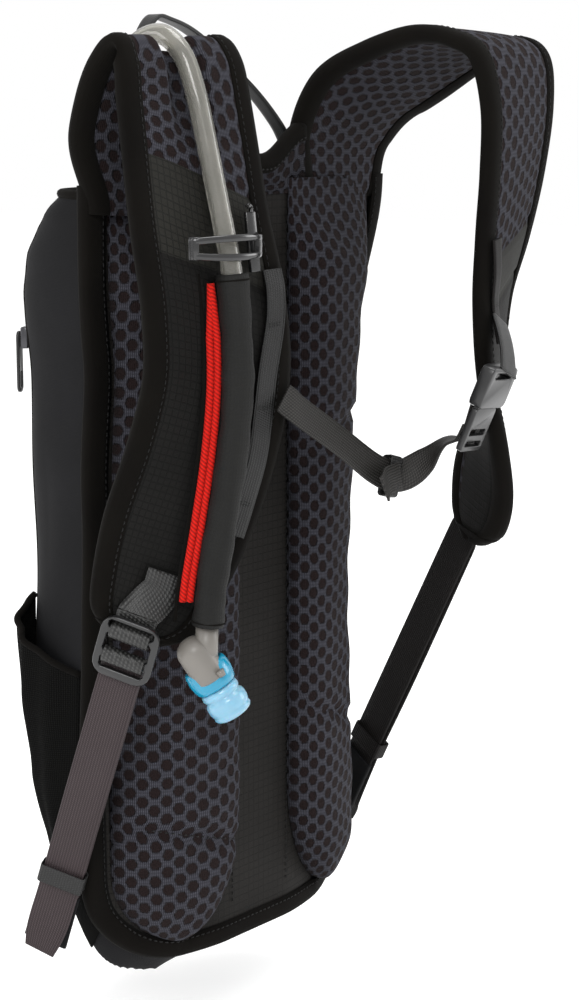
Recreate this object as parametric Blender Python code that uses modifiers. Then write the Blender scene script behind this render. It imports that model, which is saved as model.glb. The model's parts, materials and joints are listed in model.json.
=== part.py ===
"""Hydration pack: a small back-worn bag with a water reservoir, drink hose and padded shoulder straps.

Metres, +Z up. The wearer's side faces -Y, the bag's front faces +Y. The origin is on the flat
channel down the middle of the back panel. "right" and "left" are the wearer's, so right is -X.
"""

import math

import bmesh
import bpy
from mathutils import Matrix, Vector

GAP = 0.0003

# Back panel: height, half widths, and how far its edges lie behind its middle.
PANEL_BOTTOM = -0.2165
PANEL_TOP = 0.150
PANEL_THICK = 0.004
CORNER_RADIUS = 0.042
BINDING_RADIUS = 0.0042
CHANNEL_HALF = 0.022
PANEL_WIDTHS = ((-0.2165, 0.0916), (-0.150, 0.0916), (-0.050, 0.0870), (0.060, 0.0896), (0.150, 0.0996))
PANEL_EDGES = ((-0.2165, 0.020), (-0.060, 0.021), (0.010, 0.018), (0.080, 0.013), (0.150, 0.006))

# Padded back pods.
POD_BOTTOM = -0.2145
POD_TOP = 0.146
RIGHT_POD_INNER = 0.0225
LEFT_POD_INNER = 0.0285
POD_THICK = 0.018

# Bag shell, its openings and the flap that closes the front one.
BAG_DEPTH = 0.070
BOTTOM_SAG = 0.026
SHELL_WALL = 0.0016
SIDE_DEPTHS = ((-0.2165, 0.05), (-0.213, 0.16), (-0.200, 0.34), (-0.165, 0.54), (-0.130, 0.78), (-0.090, 0.96),
               (-0.060, 1.0), (0.085, 1.0), (0.100, 0.97), (0.120, 0.88), (0.140, 0.68), (0.1515, 0.47))
MIDDLE_DEPTHS = ((-0.2165, 0.05), (-0.213, 0.25), (-0.206, 0.50), (-0.195, 0.72), (-0.175, 0.90),
                 (-0.145, 0.98), (-0.110, 1.0), (0.095, 1.0), (0.115, 0.96), (0.132, 0.82), (0.145, 0.62), (0.1515, 0.46))
SLOT_HALF = 0.0880
SLOT_BACK = 0.046
FLAP_HALF = 0.064
FLAP_BOTTOM = -0.060
FLAP_TOP = 0.118
FLAP_GAP = 0.0006
ZIP_LINE = FLAP_HALF + 0.006

# Reservoir and hose.
RESERVOIR_HALF = 0.068
RESERVOIR_BOTTOM = -0.170
RESERVOIR_TOP = 0.085
RESERVOIR_FRONT = 0.0395
HOSE_RADIUS = 0.00475
SLEEVE_RADIUS = 0.0071
SLEEVE_BORE = 0.00515
CORD_RADIUS = 0.0015

# Straps and webbing.
STRAP_THICK = 0.009
WEBBING = 0.020
WEBBING_THICK = 0.0013
STERNUM_WEBBING = 0.015
SWING_AXIS = Vector((0.0, 0.014, 0.152))

# Ladder-lock: across (u), along (v), bars and slots.
LOCK_HALF = 0.0140
LOCK_SLOT = 0.0109
LOCK_THICK = 0.0028
UPPER_BAR = 0.0080
LOWER_BAR = -0.0040
BAR_HALF = 0.0012

COLOURS = {
    "binding_fabric": ((0.010, 0.009, 0.008), 0.85),
    "shell_fabric": ((0.024, 0.023, 0.022), 0.75),
    "pad_mesh": ((0.045, 0.047, 0.062), 0.90),
    "pocket_knit": ((0.013, 0.013, 0.012), 0.90),
    "webbing": ((0.035, 0.033, 0.032), 0.80),
    "grey_webbing": ((0.070, 0.060, 0.058), 0.80),
    "buckle_plastic": ((0.045, 0.045, 0.046), 0.42),
    "zip_metal": ((0.060, 0.060, 0.062), 0.35),
    "hose_plastic": ((0.620, 0.610, 0.560), 0.30),
    "sleeve_fabric": ((0.040, 0.040, 0.040), 0.80),
    "cord_red": ((0.780, 0.030, 0.012), 0.60),
    "valve_grey": ((0.290, 0.280, 0.265), 0.45),
    "valve_blue": ((0.010, 0.370, 0.680), 0.35),
    "mouthpiece_silicone": ((0.560, 0.760, 0.860), 0.30),
    "reservoir_film": ((0.420, 0.620, 0.740), 0.30),
    "lining_fabric": ((0.110, 0.112, 0.118), 0.80),
}


def clear_scene():
    for obj in list(bpy.data.objects):
        bpy.data.objects.remove(obj, do_unlink=True)


def new_collection(name, hidden=False):
    made = bpy.data.collections.new(name)
    bpy.context.scene.collection.children.link(made)
    made.hide_render = hidden
    return made


clear_scene()
PACK = new_collection("hydration_pack")
CUTTERS = new_collection("cutters", hidden=True)
PACK_ROOT = bpy.data.objects.new("pack_origin", None)
PACK.objects.link(PACK_ROOT)


def material(name):
    found = bpy.data.materials.get(name)
    if found:
        return found
    colour, roughness = COLOURS[name]
    made = bpy.data.materials.new(name)
    made.use_nodes = True
    shader = made.node_tree.nodes["Principled BSDF"]
    shader.inputs["Base Color"].default_value = (*colour, 1.0)
    shader.inputs["Roughness"].default_value = roughness
    shader.inputs["Metallic"].default_value = 0.9 if name == "zip_metal" else 0.0
    return made


def add_node(name, mesh, skin, pivot=(0.0, 0.0, 0.0), smooth=True, where=None):
    """An object whose mesh is given in world places, with its origin moved to its pivot."""
    mesh.transform(Matrix.Translation(-Vector(pivot)))
    obj = bpy.data.objects.new(name, mesh)
    (where or PACK).objects.link(obj)
    obj.location = pivot
    if where is None:
        obj.parent = PACK_ROOT
    if skin:
        obj.data.materials.append(material(skin))
    for face in obj.data.polygons:
        face.use_smooth = smooth
    return obj


def mesh_of(bm):
    bmesh.ops.recalc_face_normals(bm, faces=bm.faces)
    mesh = bpy.data.meshes.new("mesh")
    bm.to_mesh(mesh)
    bm.free()
    return mesh


def loft(rings, closed=False):
    """A mesh through rings of the same count; closed joins the last ring to the first."""
    bm = bmesh.new()
    rows = [[bm.verts.new(point) for point in ring] for ring in rings]
    count = len(rows[0])
    pairs = list(zip(rows, rows[1:]))
    if closed:
        pairs.append((rows[-1], rows[0]))
    for low, high in pairs:
        for i in range(count):
            j = (i + 1) % count
            bm.faces.new((low[i], low[j], high[j], high[i]))
    if not closed:
        bm.faces.new(rows[0])
        bm.faces.new(rows[-1])
    return mesh_of(bm)


def table(pairs, at):
    """Smooth value at a place, from (place, value) pairs in rising order."""
    if at <= pairs[0][0]:
        return pairs[0][1]
    for (low, first), (high, second) in zip(pairs, pairs[1:]):
        if at <= high:
            part = (at - low) / (high - low)
            return first + (second - first) * part * part * (3 - 2 * part)
    return pairs[-1][1]


def smooth_at(points, place):
    """A point of the Catmull-Rom curve through the points; place counts in points."""
    last = len(points) - 1
    i = min(int(place), last - 1)
    t = place - i
    p1, p2 = Vector(points[i]), Vector(points[i + 1])
    p0 = Vector(points[i - 1]) if i > 0 else p1 * 2 - p2
    p3 = Vector(points[i + 2]) if i + 2 <= last else p2 * 2 - p1
    return 0.5 * (
        2 * p1
        + (p2 - p0) * t
        + (2 * p0 - 5 * p1 + 4 * p2 - p3) * t * t
        + (3 * p1 - p0 - 3 * p2 + p3) * t ** 3
    )


def smooth_route(points, count):
    last = len(points) - 1
    return [smooth_at(points, last * k / (count - 1)) for k in range(count)]


# --- straps and webbing -----------------------------------------------------------------------


class Ribbon:
    """A band through stations of (centre, side direction, width), with a face and a back."""

    def __init__(self, stations, thick, trough=None):
        self.centres = [Vector(s[0]) for s in stations]
        self.sides = [Vector(s[1]).normalized() for s in stations]
        self.widths = [s[2] for s in stations]
        self.thick = thick
        self.trough = trough

    def dip(self, place):
        """How far the face sinks along its middle, where a hose crosses the strap."""
        if self.trough is None:
            return 0.0
        rise, full, hold, end = self.trough
        return table(((rise, 0.0), (full, 1.0), (hold, 1.0), (end, 0.0)), place)

    def frame(self, place):
        """Centre, side, outward normal and width at a place counted in stations."""
        step = 0.02
        last = len(self.centres) - 1
        before = smooth_at(self.centres, max(place - step, 0.0))
        after = smooth_at(self.centres, min(place + step, last))
        along = (after - before).normalized()
        side = smooth_at(self.sides, place)
        side = (side - along * side.dot(along)).normalized()
        normal = along.cross(side)
        width = smooth_at([Vector((w, 0.0, 0.0)) for w in self.widths], place).x
        return smooth_at(self.centres, place), side, normal, width

    def on_face(self, place, across, lift):
        """A point on the outer face, across from the middle and lifted off the face."""
        centre, side, normal, _ = self.frame(place)
        return centre + side * across + normal * (self.thick / 2 + lift)

    def ring(self, place, trim=1.0):
        centre, side, normal, width = self.frame(place)
        half, up = width * trim / 2, self.thick / 2
        soft = min(up * 0.7, half * 0.5)
        corners = [(half - soft, -up), (half, -up + soft), (half, up - soft), (half - soft, up)]
        if self.trough is not None:
            sunk = up - 0.0068 * self.dip(place)
            corners += [(0.0125, up), (0.0055, sunk), (-0.0055, sunk), (-0.0125, up)]
        corners += [(-half + soft, up), (-half, up - soft), (-half, -up + soft), (-half + soft, -up)]
        if self.trough is not None:
            sunk = -up - 0.0022 * self.dip(place)
            corners += [(-0.0125, -up), (-0.0055, sunk), (0.0055, sunk), (0.0125, -up)]
        return [centre + side * a + normal * b for a, b in corners]

    def mesh(self, count, first=0.0, last=None):
        last = len(self.centres) - 1 if last is None else last
        places = [first + (last - first) * k / (count - 1) for k in range(count)]
        return loft([self.ring(place) for place in places])


def strip(stations, width, thick, count):
    """A webbing band of one width through (centre, side) stations."""
    return Ribbon([(c, s, width) for c, s in stations], thick).mesh(count)


def tube(name, points, radius, skin, count, pivot=(0.0, 0.0, 0.0), sides=2):
    """A round cord or hose along a smooth route, as a curve with filled caps."""
    curve = bpy.data.curves.new(name, "CURVE")
    curve.dimensions = "3D"
    curve.bevel_depth = radius
    curve.bevel_resolution = sides
    curve.use_fill_caps = True
    spline = curve.splines.new("POLY")
    route = smooth_route(points, count)
    spline.points.add(count - 1)
    for slot, point in zip(spline.points, route):
        slot.co = (*(point - Vector(pivot)), 1.0)
    obj = bpy.data.objects.new(name, curve)
    PACK.objects.link(obj)
    obj.location = pivot
    obj.parent = PACK_ROOT
    curve.materials.append(material(skin))
    return obj


def pipe_rings(points, count, radii, sides=12):
    """Rings of a round section along a route; radii gives one radius, or one for each ring."""
    route = smooth_route(points, count)
    rings = []
    side = None
    for k, point in enumerate(route):
        ahead = route[min(k + 1, count - 1)] - route[max(k - 1, 0)]
        along = ahead.normalized()
        side = Vector((1.0, 0.0, 0.0)) if side is None else side
        side = (side - along * side.dot(along)).normalized()
        over = along.cross(side)
        radius = radii if isinstance(radii, float) else radii[k]
        angles = [2 * math.pi * i / sides for i in range(sides)]
        rings.append([point + (side * math.cos(a) + over * math.sin(a)) * radius for a in angles])
    return rings


def hollow_tube(points, count, outer, bore):
    """An open-ended sleeve around a route."""
    outside = pipe_rings(points, count, outer)
    inside = pipe_rings(points, count, bore)
    return loft(outside + inside[::-1], closed=True)


def turned(axis_from, axis_to, profile, sides=20):
    """Rings of a turned shape; profile is (distance along the axis, radius) pairs."""
    start = Vector(axis_from)
    along = (Vector(axis_to) - start).normalized()
    side = along.orthogonal().normalized()
    over = along.cross(side)
    rings = []
    for distance, radius in profile:
        centre = start + along * distance
        angles = [2 * math.pi * i / sides for i in range(sides)]
        rings.append([centre + (side * math.cos(a) + over * math.sin(a)) * radius for a in angles])
    return rings


def box_mesh(size, bevel=0.0):
    bm = bmesh.new()
    bmesh.ops.create_cube(bm, size=1.0)
    bmesh.ops.scale(bm, vec=size, verts=bm.verts)
    if bevel:
        bmesh.ops.bevel(bm, geom=bm.edges[:], offset=bevel, segments=2, profile=0.5, affect="EDGES")
    return mesh_of(bm)


def placed_box(size, frame, bevel=0.0):
    mesh = box_mesh(size, bevel)
    mesh.transform(frame)
    return mesh


def frame_of(origin, across, along):
    """A frame with local X across, local Y along and local Z their cross product."""
    y = Vector(along).normalized()
    x = Vector(across)
    x = (x - y * x.dot(y)).normalized()
    z = x.cross(y)
    turn = Matrix((x, y, z)).transposed().to_4x4()
    return Matrix.Translation(Vector(origin)) @ turn


def cutter(name, mesh):
    obj = add_node(name, mesh, None, where=CUTTERS)
    obj.hide_render = True
    obj.display_type = "WIRE"
    return obj


def boolean(obj, other, operation):
    made = obj.modifiers.new(operation.lower() + "_" + other.name, "BOOLEAN")
    made.operation = operation
    made.solver = "EXACT"
    made.object = other


def outline(name, loops, thick, frame, skin, bevel=0.0, pivot=None):
    """A flat plate with holes: 2D curve loops, the outer one first, extruded both ways."""
    curve = bpy.data.curves.new(name, "CURVE")
    curve.dimensions = "2D"
    curve.fill_mode = "BOTH"
    curve.extrude = thick / 2 - bevel
    curve.bevel_depth = bevel
    curve.bevel_resolution = 1
    curve.offset = -bevel
    for loop in loops:
        spline = curve.splines.new("POLY")
        spline.points.add(len(loop) - 1)
        spline.use_cyclic_u = True
        for slot, (x, y) in zip(spline.points, loop):
            slot.co = (x, y, 0.0, 1.0)
    helper = bpy.data.objects.new(name + "_outline", curve)
    PACK.objects.link(helper)
    bpy.context.view_layer.update()
    mesh = bpy.data.meshes.new_from_object(helper)
    bpy.data.objects.remove(helper, do_unlink=True)
    bm = bmesh.new()
    bm.from_mesh(mesh)
    bmesh.ops.remove_doubles(bm, verts=bm.verts, dist=0.00001)
    flat = mesh_of(bm)
    flat.transform(frame)
    flat.materials.clear()
    return add_node(name, flat, skin, pivot or frame.translation, smooth=False)


def rounded(x_low, x_high, y_low, y_high, radius, steps=4):
    """A rounded rectangle as a list of points."""
    points = []
    corners = (
        (x_high - radius, y_high - radius, 0.0),
        (x_low + radius, y_high - radius, 0.5),
        (x_low + radius, y_low + radius, 1.0),
        (x_high - radius, y_low + radius, 1.5),
    )
    for cx, cy, turn in corners:
        for k in range(steps + 1):
            angle = math.pi * (turn + 0.5 * k / steps)
            points.append((cx + radius * math.cos(angle), cy + radius * math.sin(angle)))
    return points


# --- back panel, pods and bag -----------------------------------------------------------------


def half_width(z):
    width = table(PANEL_WIDTHS, z)
    over = PANEL_BOTTOM + CORNER_RADIUS - z
    if over > 0:
        width -= CORNER_RADIUS - math.sqrt(max(CORNER_RADIUS ** 2 - over ** 2, 0.0))
    return width


def panel_front(x, z):
    """The panel's wearer-side face: flat in the channel, falling back towards its edges."""
    edge = table(PANEL_WIDTHS, z)
    part = max(abs(x) - CHANNEL_HALF, 0.0) / (edge - CHANNEL_HALF)
    return table(PANEL_EDGES, z) * min(part, 1.0) ** 1.6


def spread(low, high, count):
    return [low + (high - low) * k / (count - 1) for k in range(count)]


def panel_stations():
    low = [PANEL_BOTTOM + CORNER_RADIUS * (1 - math.cos(a)) for a in spread(0.0, math.pi / 2, 7)]
    return low + spread(low[-1], PANEL_TOP, 9)[1:]


def make_back_panel():
    rings = []
    for z in panel_stations():
        half = half_width(z)
        xs = sorted(spread(-half, half, 14) + [-CHANNEL_HALF * 0.9, CHANNEL_HALF * 0.9])
        front = [Vector((x, panel_front(x, z), z)) for x in xs]
        back = [point + Vector((0.0, PANEL_THICK, 0.0)) for point in reversed(front)]
        rings.append(front + back)
    return add_node("back_panel", loft(rings), "shell_fabric")


def make_back_binding():
    """The binding that wraps the panel's edge, down both sides and round the bottom."""
    reach = BINDING_RADIUS + GAP
    edge = [(half_width(z) + reach, z) for z in reversed(panel_stations()[6:])]
    centre_x = half_width(PANEL_BOTTOM + CORNER_RADIUS) - CORNER_RADIUS
    centre_z = PANEL_BOTTOM + CORNER_RADIUS
    for angle in spread(0.0, math.pi / 2, 8)[1:]:
        out = CORNER_RADIUS + reach
        edge.append((centre_x + out * math.cos(angle), centre_z - out * math.sin(angle)))
    edge += [(x, PANEL_BOTTOM - reach) for x in (0.034, 0.017, 0.0)]
    half = []
    for x, z in edge:
        y = panel_front(min(x, table(PANEL_WIDTHS, z)), z) + PANEL_THICK / 2
        half.append(Vector((-x, y, z)))
    route = half + [Vector((-p.x, p.y, p.z)) for p in reversed(half[:-1])]
    rings = pipe_rings(route, 66, BINDING_RADIUS, sides=6)
    return add_node("panel_binding", loft(rings), "binding_fabric")


def make_yoke():
    """The bound top edge between the strap roots, where the grab handle is sewn."""
    rings = []
    for x, top in ((-0.034, 0.1740), (-0.022, 0.1700), (-0.008, 0.1680), (0.008, 0.1680),
                   (0.022, 0.1710), (0.033, 0.1760)):
        low = PANEL_TOP + GAP
        rings.append([Vector((x, y, z)) for y, z in ((0.0, low), (0.0042, low), (0.0062, top), (0.0, top))])
    add_node("top_yoke", loft(rings), "binding_fabric", smooth=False)


def make_back_pod(name, hand, inner):
    rings = []
    for part in spread(0.0, 1.0, 15):
        z = POD_BOTTOM + (POD_TOP - POD_BOTTOM) * part
        from_end = min(part / 0.10, 1.0)
        swell = math.sqrt(1 - (1 - from_end) ** 2) if from_end < 1 else 1.0
        swell = max(swell, 0.35)
        at_top = table(((0.85, 1.0), (1.0, 0.45)), part)
        outer = (half_width(z) - 0.009 - inner) * min(1.0, 0.35 + 0.65 * swell)
        middle = inner + outer / 2 + (1 - swell) * 0.004
        xs = [middle + outer / 2 * math.sin(math.pi / 2 * s) for s in spread(-1.0, 1.0, 9)]
        low = [Vector((hand * x, panel_front(x, z) - 0.0012, z)) for x in xs]
        crown = []
        for x, s in zip(xs[1:-1], spread(-1.0, 1.0, 9)[1:-1]):
            rise = POD_THICK * swell * at_top * (1 - abs(math.sin(math.pi / 2 * s)) ** 2.6) ** 0.8
            crown.append(Vector((hand * x, panel_front(x, z) - 0.0022 - rise, z)))
        rings.append(low + crown[::-1])
    return add_node(name, loft(rings), "pad_mesh")


def shell_back(z):
    """Where the shell meets the panel's back, at the panel's edge."""
    return panel_front(half_width(z), z) + PANEL_THICK + 0.0012


def shell_point(turn, z, grow=0.0):
    """A point of the shell's outer skin; turn runs 0 to pi from the right edge to the left."""
    half = half_width(z) + grow
    c, s = math.cos(turn), math.sin(turn)
    aside = abs(c) ** 1.5
    share = aside * table(SIDE_DEPTHS, z) + (1 - aside) * table(MIDDLE_DEPTHS, z)
    depth = (BAG_DEPTH + 0.021 - shell_back(z)) * share + grow
    x = -half * math.copysign(abs(c) ** 0.50, c)
    out = depth * abs(s) ** 0.62
    sag = BOTTOM_SAG * table(((PANEL_BOTTOM, 1.0), (-0.170, 0.0)), z) * min(out / 0.014, 1.0)
    return Vector((x, shell_back(z) + out, z - sag))


def shell_stations():
    low = [-0.2155, -0.213, -0.206, -0.195, -0.178, -0.152, -0.120]
    high = [0.118, 0.130, 0.140, 0.147, 0.1515]
    return low + spread(-0.085, 0.100, 6) + high


def skin_of(stations, turns, grow=lambda turn, z: 0.0):
    """An open sheet of the shell's skin as a grid of faces."""
    bm = bmesh.new()
    rows = [[bm.verts.new(shell_point(t, z, grow(t, z))) for t in turns] for z in stations]
    for low, high in zip(rows, rows[1:]):
        for i in range(len(turns) - 1):
            bm.faces.new((low[i], high[i], high[i + 1], low[i + 1]))
    mesh = bpy.data.meshes.new("skin")
    bm.to_mesh(mesh)
    bm.free()
    return mesh


def solidify(obj, thick, offset):
    made = obj.modifiers.new("wall", "SOLIDIFY")
    made.thickness = thick
    made.offset = offset


def flap_prism(grow):
    loop = rounded(-FLAP_HALF - grow, FLAP_HALF + grow, FLAP_BOTTOM - grow, FLAP_TOP + grow, 0.018)
    near = [Vector((x, 0.040, z)) for x, z in loop]
    far = [Vector((x, 0.130, z)) for x, z in loop]
    return loft([near, far])


def make_bag():
    turns = [math.pi * k / 26 for k in range(27)]
    shell = add_node("bag_shell", skin_of(shell_stations(), turns), "shell_fabric")
    solidify(shell, SHELL_WALL, -1.0)
    flap_mesh = skin_of(shell_stations(), turns)
    hinge = (0.0, BAG_DEPTH + 0.0215, FLAP_BOTTOM - GAP)
    flap = add_node("front_flap", flap_mesh, "shell_fabric", hinge)
    solidify(flap, SHELL_WALL, -1.0)
    slot_size = (2 * SLOT_HALF, SLOT_BACK - 0.004, 0.08)
    slot_place = Matrix.Translation((0.0, (SLOT_BACK + 0.004) / 2, 0.165))
    boolean(shell, cutter("slot_cutter", placed_box(slot_size, slot_place)), "DIFFERENCE")
    boolean(shell, cutter("flap_hole_cutter", flap_prism(FLAP_GAP)), "DIFFERENCE")
    boolean(flap, cutter("flap_cutter", flap_prism(0.0)), "INTERSECT")


def make_side_pocket(name, left):
    """A stretch pocket over the side of the shell, sewn at its foot and edges, open above."""
    stations = [-0.196, -0.188, -0.174, -0.152, -0.124, -0.098, -0.070, -0.048]
    turns = [math.pi * (0.010 + 0.26 * k / 9) for k in range(10)]

    def bulge(turn, z):
        across = math.sin(math.pi * min(max((turn / math.pi - 0.010) / 0.26, 0.0), 1.0))
        up = table(((-0.196, 0.0), (-0.145, 0.6), (-0.048, 1.0)), z)
        return 0.0014 + 0.0080 * across * up

    def slanted(turn, z):
        share = (z + 0.196) / 0.148
        return z - 0.030 * share * (1.0 - turn / math.pi / 0.27)

    bm = bmesh.new()
    rows = []
    for z in stations:
        row = []
        for turn in turns:
            place = slanted(turn, z)
            point = shell_point(turn, place, bulge(turn, z))
            row.append(bm.verts.new((-point.x if left else point.x, point.y, point.z)))
        rows.append(row)
    for low, high in zip(rows, rows[1:]):
        for i in range(len(turns) - 1):
            face = (low[i], high[i], high[i + 1], low[i + 1])
            bm.faces.new(face[::-1] if left else face)
    mesh = bpy.data.meshes.new(name)
    bm.to_mesh(mesh)
    bm.free()
    obj = add_node(name, mesh, "pocket_knit")
    solidify(obj, 0.0010, 1.0)


def make_divider():
    rings = []
    for z in spread(-0.165, 0.116, 7):
        half = half_width(z) * 0.90
        front = [Vector((x, 0.0440, z)) for x in (-half, half)]
        back = [Vector((x, 0.0452, z)) for x in (half, -half)]
        rings.append(front + back)
    add_node("reservoir_divider", loft(rings), "lining_fabric", smooth=False)


# --- reservoir and hose -----------------------------------------------------------------------

CAP_PLACE = Vector((0.0, 0.0, 0.040))
PORT_Y = 0.0268
PORT_Z = -0.145


def reservoir_back(x):
    return 0.0140 + 0.0080 * (abs(x) / RESERVOIR_HALF) ** 2


def make_reservoir():
    rings = []
    for part in spread(0.0, 1.0, 11):
        z = RESERVOIR_BOTTOM + (RESERVOIR_TOP - RESERVOIR_BOTTOM) * part
        end = math.sin(math.pi * min(max(part, 0.02), 0.98)) ** 0.35
        half = RESERVOIR_HALF * (0.80 + 0.20 * end)
        xs = [half * math.sin(math.pi / 2 * s) for s in spread(-1.0, 1.0, 11)]
        back, front = [], []
        for x in xs:
            low = reservoir_back(x)
            full = RESERVOIR_FRONT - low
            swell = 0.16 + 0.84 * end * math.sqrt(max(1 - (x / half) ** 2 * 0.98, 0.0))
            mid = low + full / 2
            back.append(Vector((x, mid - full / 2 * swell, z)))
            front.append(Vector((x, mid + full / 2 * swell, z)))
        rings.append(back + front[::-1])
    obj = add_node("reservoir", loft(rings), "reservoir_film")
    well = turned((0.0, 0.0360, CAP_PLACE.z), (0.0, 0.06, CAP_PLACE.z), ((0.0, 0.0203), (0.02, 0.0203)))
    boolean(obj, cutter("cap_well_cutter", loft(well)), "DIFFERENCE")
    notch = placed_box((0.024, 0.044, 0.034), Matrix.Translation((-0.072, 0.026, PORT_Z)))
    boolean(obj, cutter("port_notch_cutter", notch), "DIFFERENCE")


def make_reservoir_fittings():
    cap = turned(
        (0.0, 0.0363, CAP_PLACE.z), (0.0, 0.06, CAP_PLACE.z),
        ((0.0, 0.0185), (0.0004, 0.0200), (0.0045, 0.0200), (0.0055, 0.0190)), sides=28,
    )
    cap_obj = add_node("reservoir_cap", loft(cap), "valve_blue", (0.0, 0.0363, CAP_PLACE.z))
    grip = placed_box((0.003, 0.012, 0.036), Matrix.Translation((0.0, 0.0415, CAP_PLACE.z)))
    boolean(cap_obj, cutter("cap_grip_cutter", grip), "DIFFERENCE")
    port = turned(
        (-0.0603, PORT_Y, PORT_Z), (-0.09, PORT_Y, PORT_Z),
        ((0.0, 0.0062), (0.0125, 0.0062)),
    )
    port_obj = add_node("reservoir_port", loft(port), "valve_grey")
    pocket = placed_box((0.0046, 0.0046, 0.010), Matrix.Translation((-0.0685, PORT_Y, PORT_Z + 0.0060)))
    boolean(port_obj, cutter("button_pocket_cutter", pocket), "DIFFERENCE")
    button_place = Vector((-0.0685, PORT_Y, PORT_Z + 0.00595))
    button = placed_box((0.0038, 0.0038, 0.0048), Matrix.Translation(button_place), 0.0005)
    add_node("port_release_button", button, "valve_blue", button_place, smooth=False)
    collar = turned(
        (-0.0740, PORT_Y, PORT_Z), (-0.09, PORT_Y, PORT_Z),
        ((0.0, 0.0058), (0.0018, 0.0062), (0.0060, 0.0062), (0.0105, 0.0048)),
    )
    plug = add_node("hose_plug", loft(collar), "valve_grey")
    stub = turned((-0.0800, PORT_Y, PORT_Z), (-0.0800, PORT_Y, 0.0), ((0.0, 0.0042), (0.0110, 0.0042)))
    boolean(plug, cutter("plug_stub_cutter", loft(stub)), "UNION")


HOSE_INNER = (
    (-0.0800, PORT_Y, PORT_Z + 0.0113),
    (-0.0795, 0.0274, -0.1000),
    (-0.0790, 0.0272, -0.0400),
    (-0.0800, 0.0268, 0.0300),
    (-0.0810, 0.0252, 0.0900),
    (-0.0806, 0.0225, 0.1300),
    (-0.0805, 0.0205, 0.1620),
)
HOSE_OUTER = (
    (-0.0805, 0.0205, 0.1640),
    (-0.0795, 0.0200, 0.1840),
    (-0.0780, 0.0130, 0.2060),
    (-0.0768, 0.0010, 0.2186),
    (-0.0760, -0.0132, 0.2220),
    (-0.0756, -0.0250, 0.2132),
    (-0.0752, -0.0320, 0.1980),
    (-0.0750, -0.0372, 0.1800),
    (-0.0750, -0.0430, 0.1580),
    (-0.0750, -0.0490, 0.1350),
    (-0.0750, -0.0530, 0.1180),
    (-0.0745, -0.0555, 0.0900),
    (-0.0745, -0.0555, 0.0650),
    (-0.0760, -0.0530, 0.0350),
    (-0.0790, -0.0495, 0.0050),
    (-0.0820, -0.0460, -0.0220),
    (-0.0837, -0.0448, -0.0415),
    (-0.0840, -0.0446, -0.0455),
)
SLEEVE_ROUTE = HOSE_OUTER[10:17]

VALVE_TOP = Vector((-0.0900, -0.0372, -0.0475))
VALVE_AIM = Vector((0.328, -0.407, -0.852)).normalized()


def make_hose():
    tube("hose_inner", HOSE_INNER, HOSE_RADIUS, "hose_plastic", 26)
    tube("hose_outer", HOSE_OUTER, HOSE_RADIUS, "hose_plastic", 44, SWING_AXIS)
    sleeve = hollow_tube(SLEEVE_ROUTE, 18, SLEEVE_RADIUS, SLEEVE_BORE)
    add_node("hose_sleeve", sleeve, "sleeve_fabric", SWING_AXIS)


def make_valve():
    end = Vector(HOSE_OUTER[-1])
    pivot = end
    body_length = 0.0225
    body = turned(
        VALVE_TOP, VALVE_TOP + VALVE_AIM,
        ((0.0, 0.0035), (0.0009, 0.0058), (0.0026, 0.0075), (0.0052, 0.0083), (body_length, 0.0080)),
    )
    obj = add_node("valve_elbow", loft(body), "valve_grey", pivot)
    stub = turned(end + Vector((0.0, 0.0, -0.0007)), end + Vector((-0.0006, -0.0002, -0.02)),
                  ((0.0, 0.0045), (0.0060, 0.0050), (0.0170, 0.0050)))
    boolean(obj, cutter("valve_stub_cutter", loft(stub)), "UNION")
    tab = frame_of(VALVE_TOP + VALVE_AIM * 0.0185 + Vector((0.0056, -0.0050, 0.0042)), (0.6, -0.7, 0.5),
                   VALVE_AIM)
    tab_cutter = cutter("valve_tab_cutter", placed_box((0.0050, 0.0050, 0.0026), tab, 0.0005))
    boolean(obj, tab_cutter, "UNION")
    ring_from = VALVE_TOP + VALVE_AIM * (body_length + GAP)
    ring = turned(ring_from, ring_from + VALVE_AIM,
                  ((0.0, 0.0088), (0.0008, 0.0099), (0.0052, 0.0099), (0.0062, 0.0090)), sides=24)
    add_node("valve_ring", loft(ring), "valve_blue", ring_from)
    mouth_from = ring_from + VALVE_AIM * (0.0062 + GAP)
    profile = (
        (0.0, 0.0078), (0.0010, 0.0091), (0.0040, 0.0093), (0.0058, 0.0080), (0.0074, 0.0086),
        (0.0110, 0.0092), (0.0140, 0.0084), (0.0158, 0.0060), (0.0165, 0.0025),
    )
    mouth = turned(mouth_from, mouth_from + VALVE_AIM, profile, sides=24)
    add_node("mouthpiece", loft(mouth), "mouthpiece_silicone", mouth_from)


# --- shoulder straps --------------------------------------------------------------------------

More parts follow.
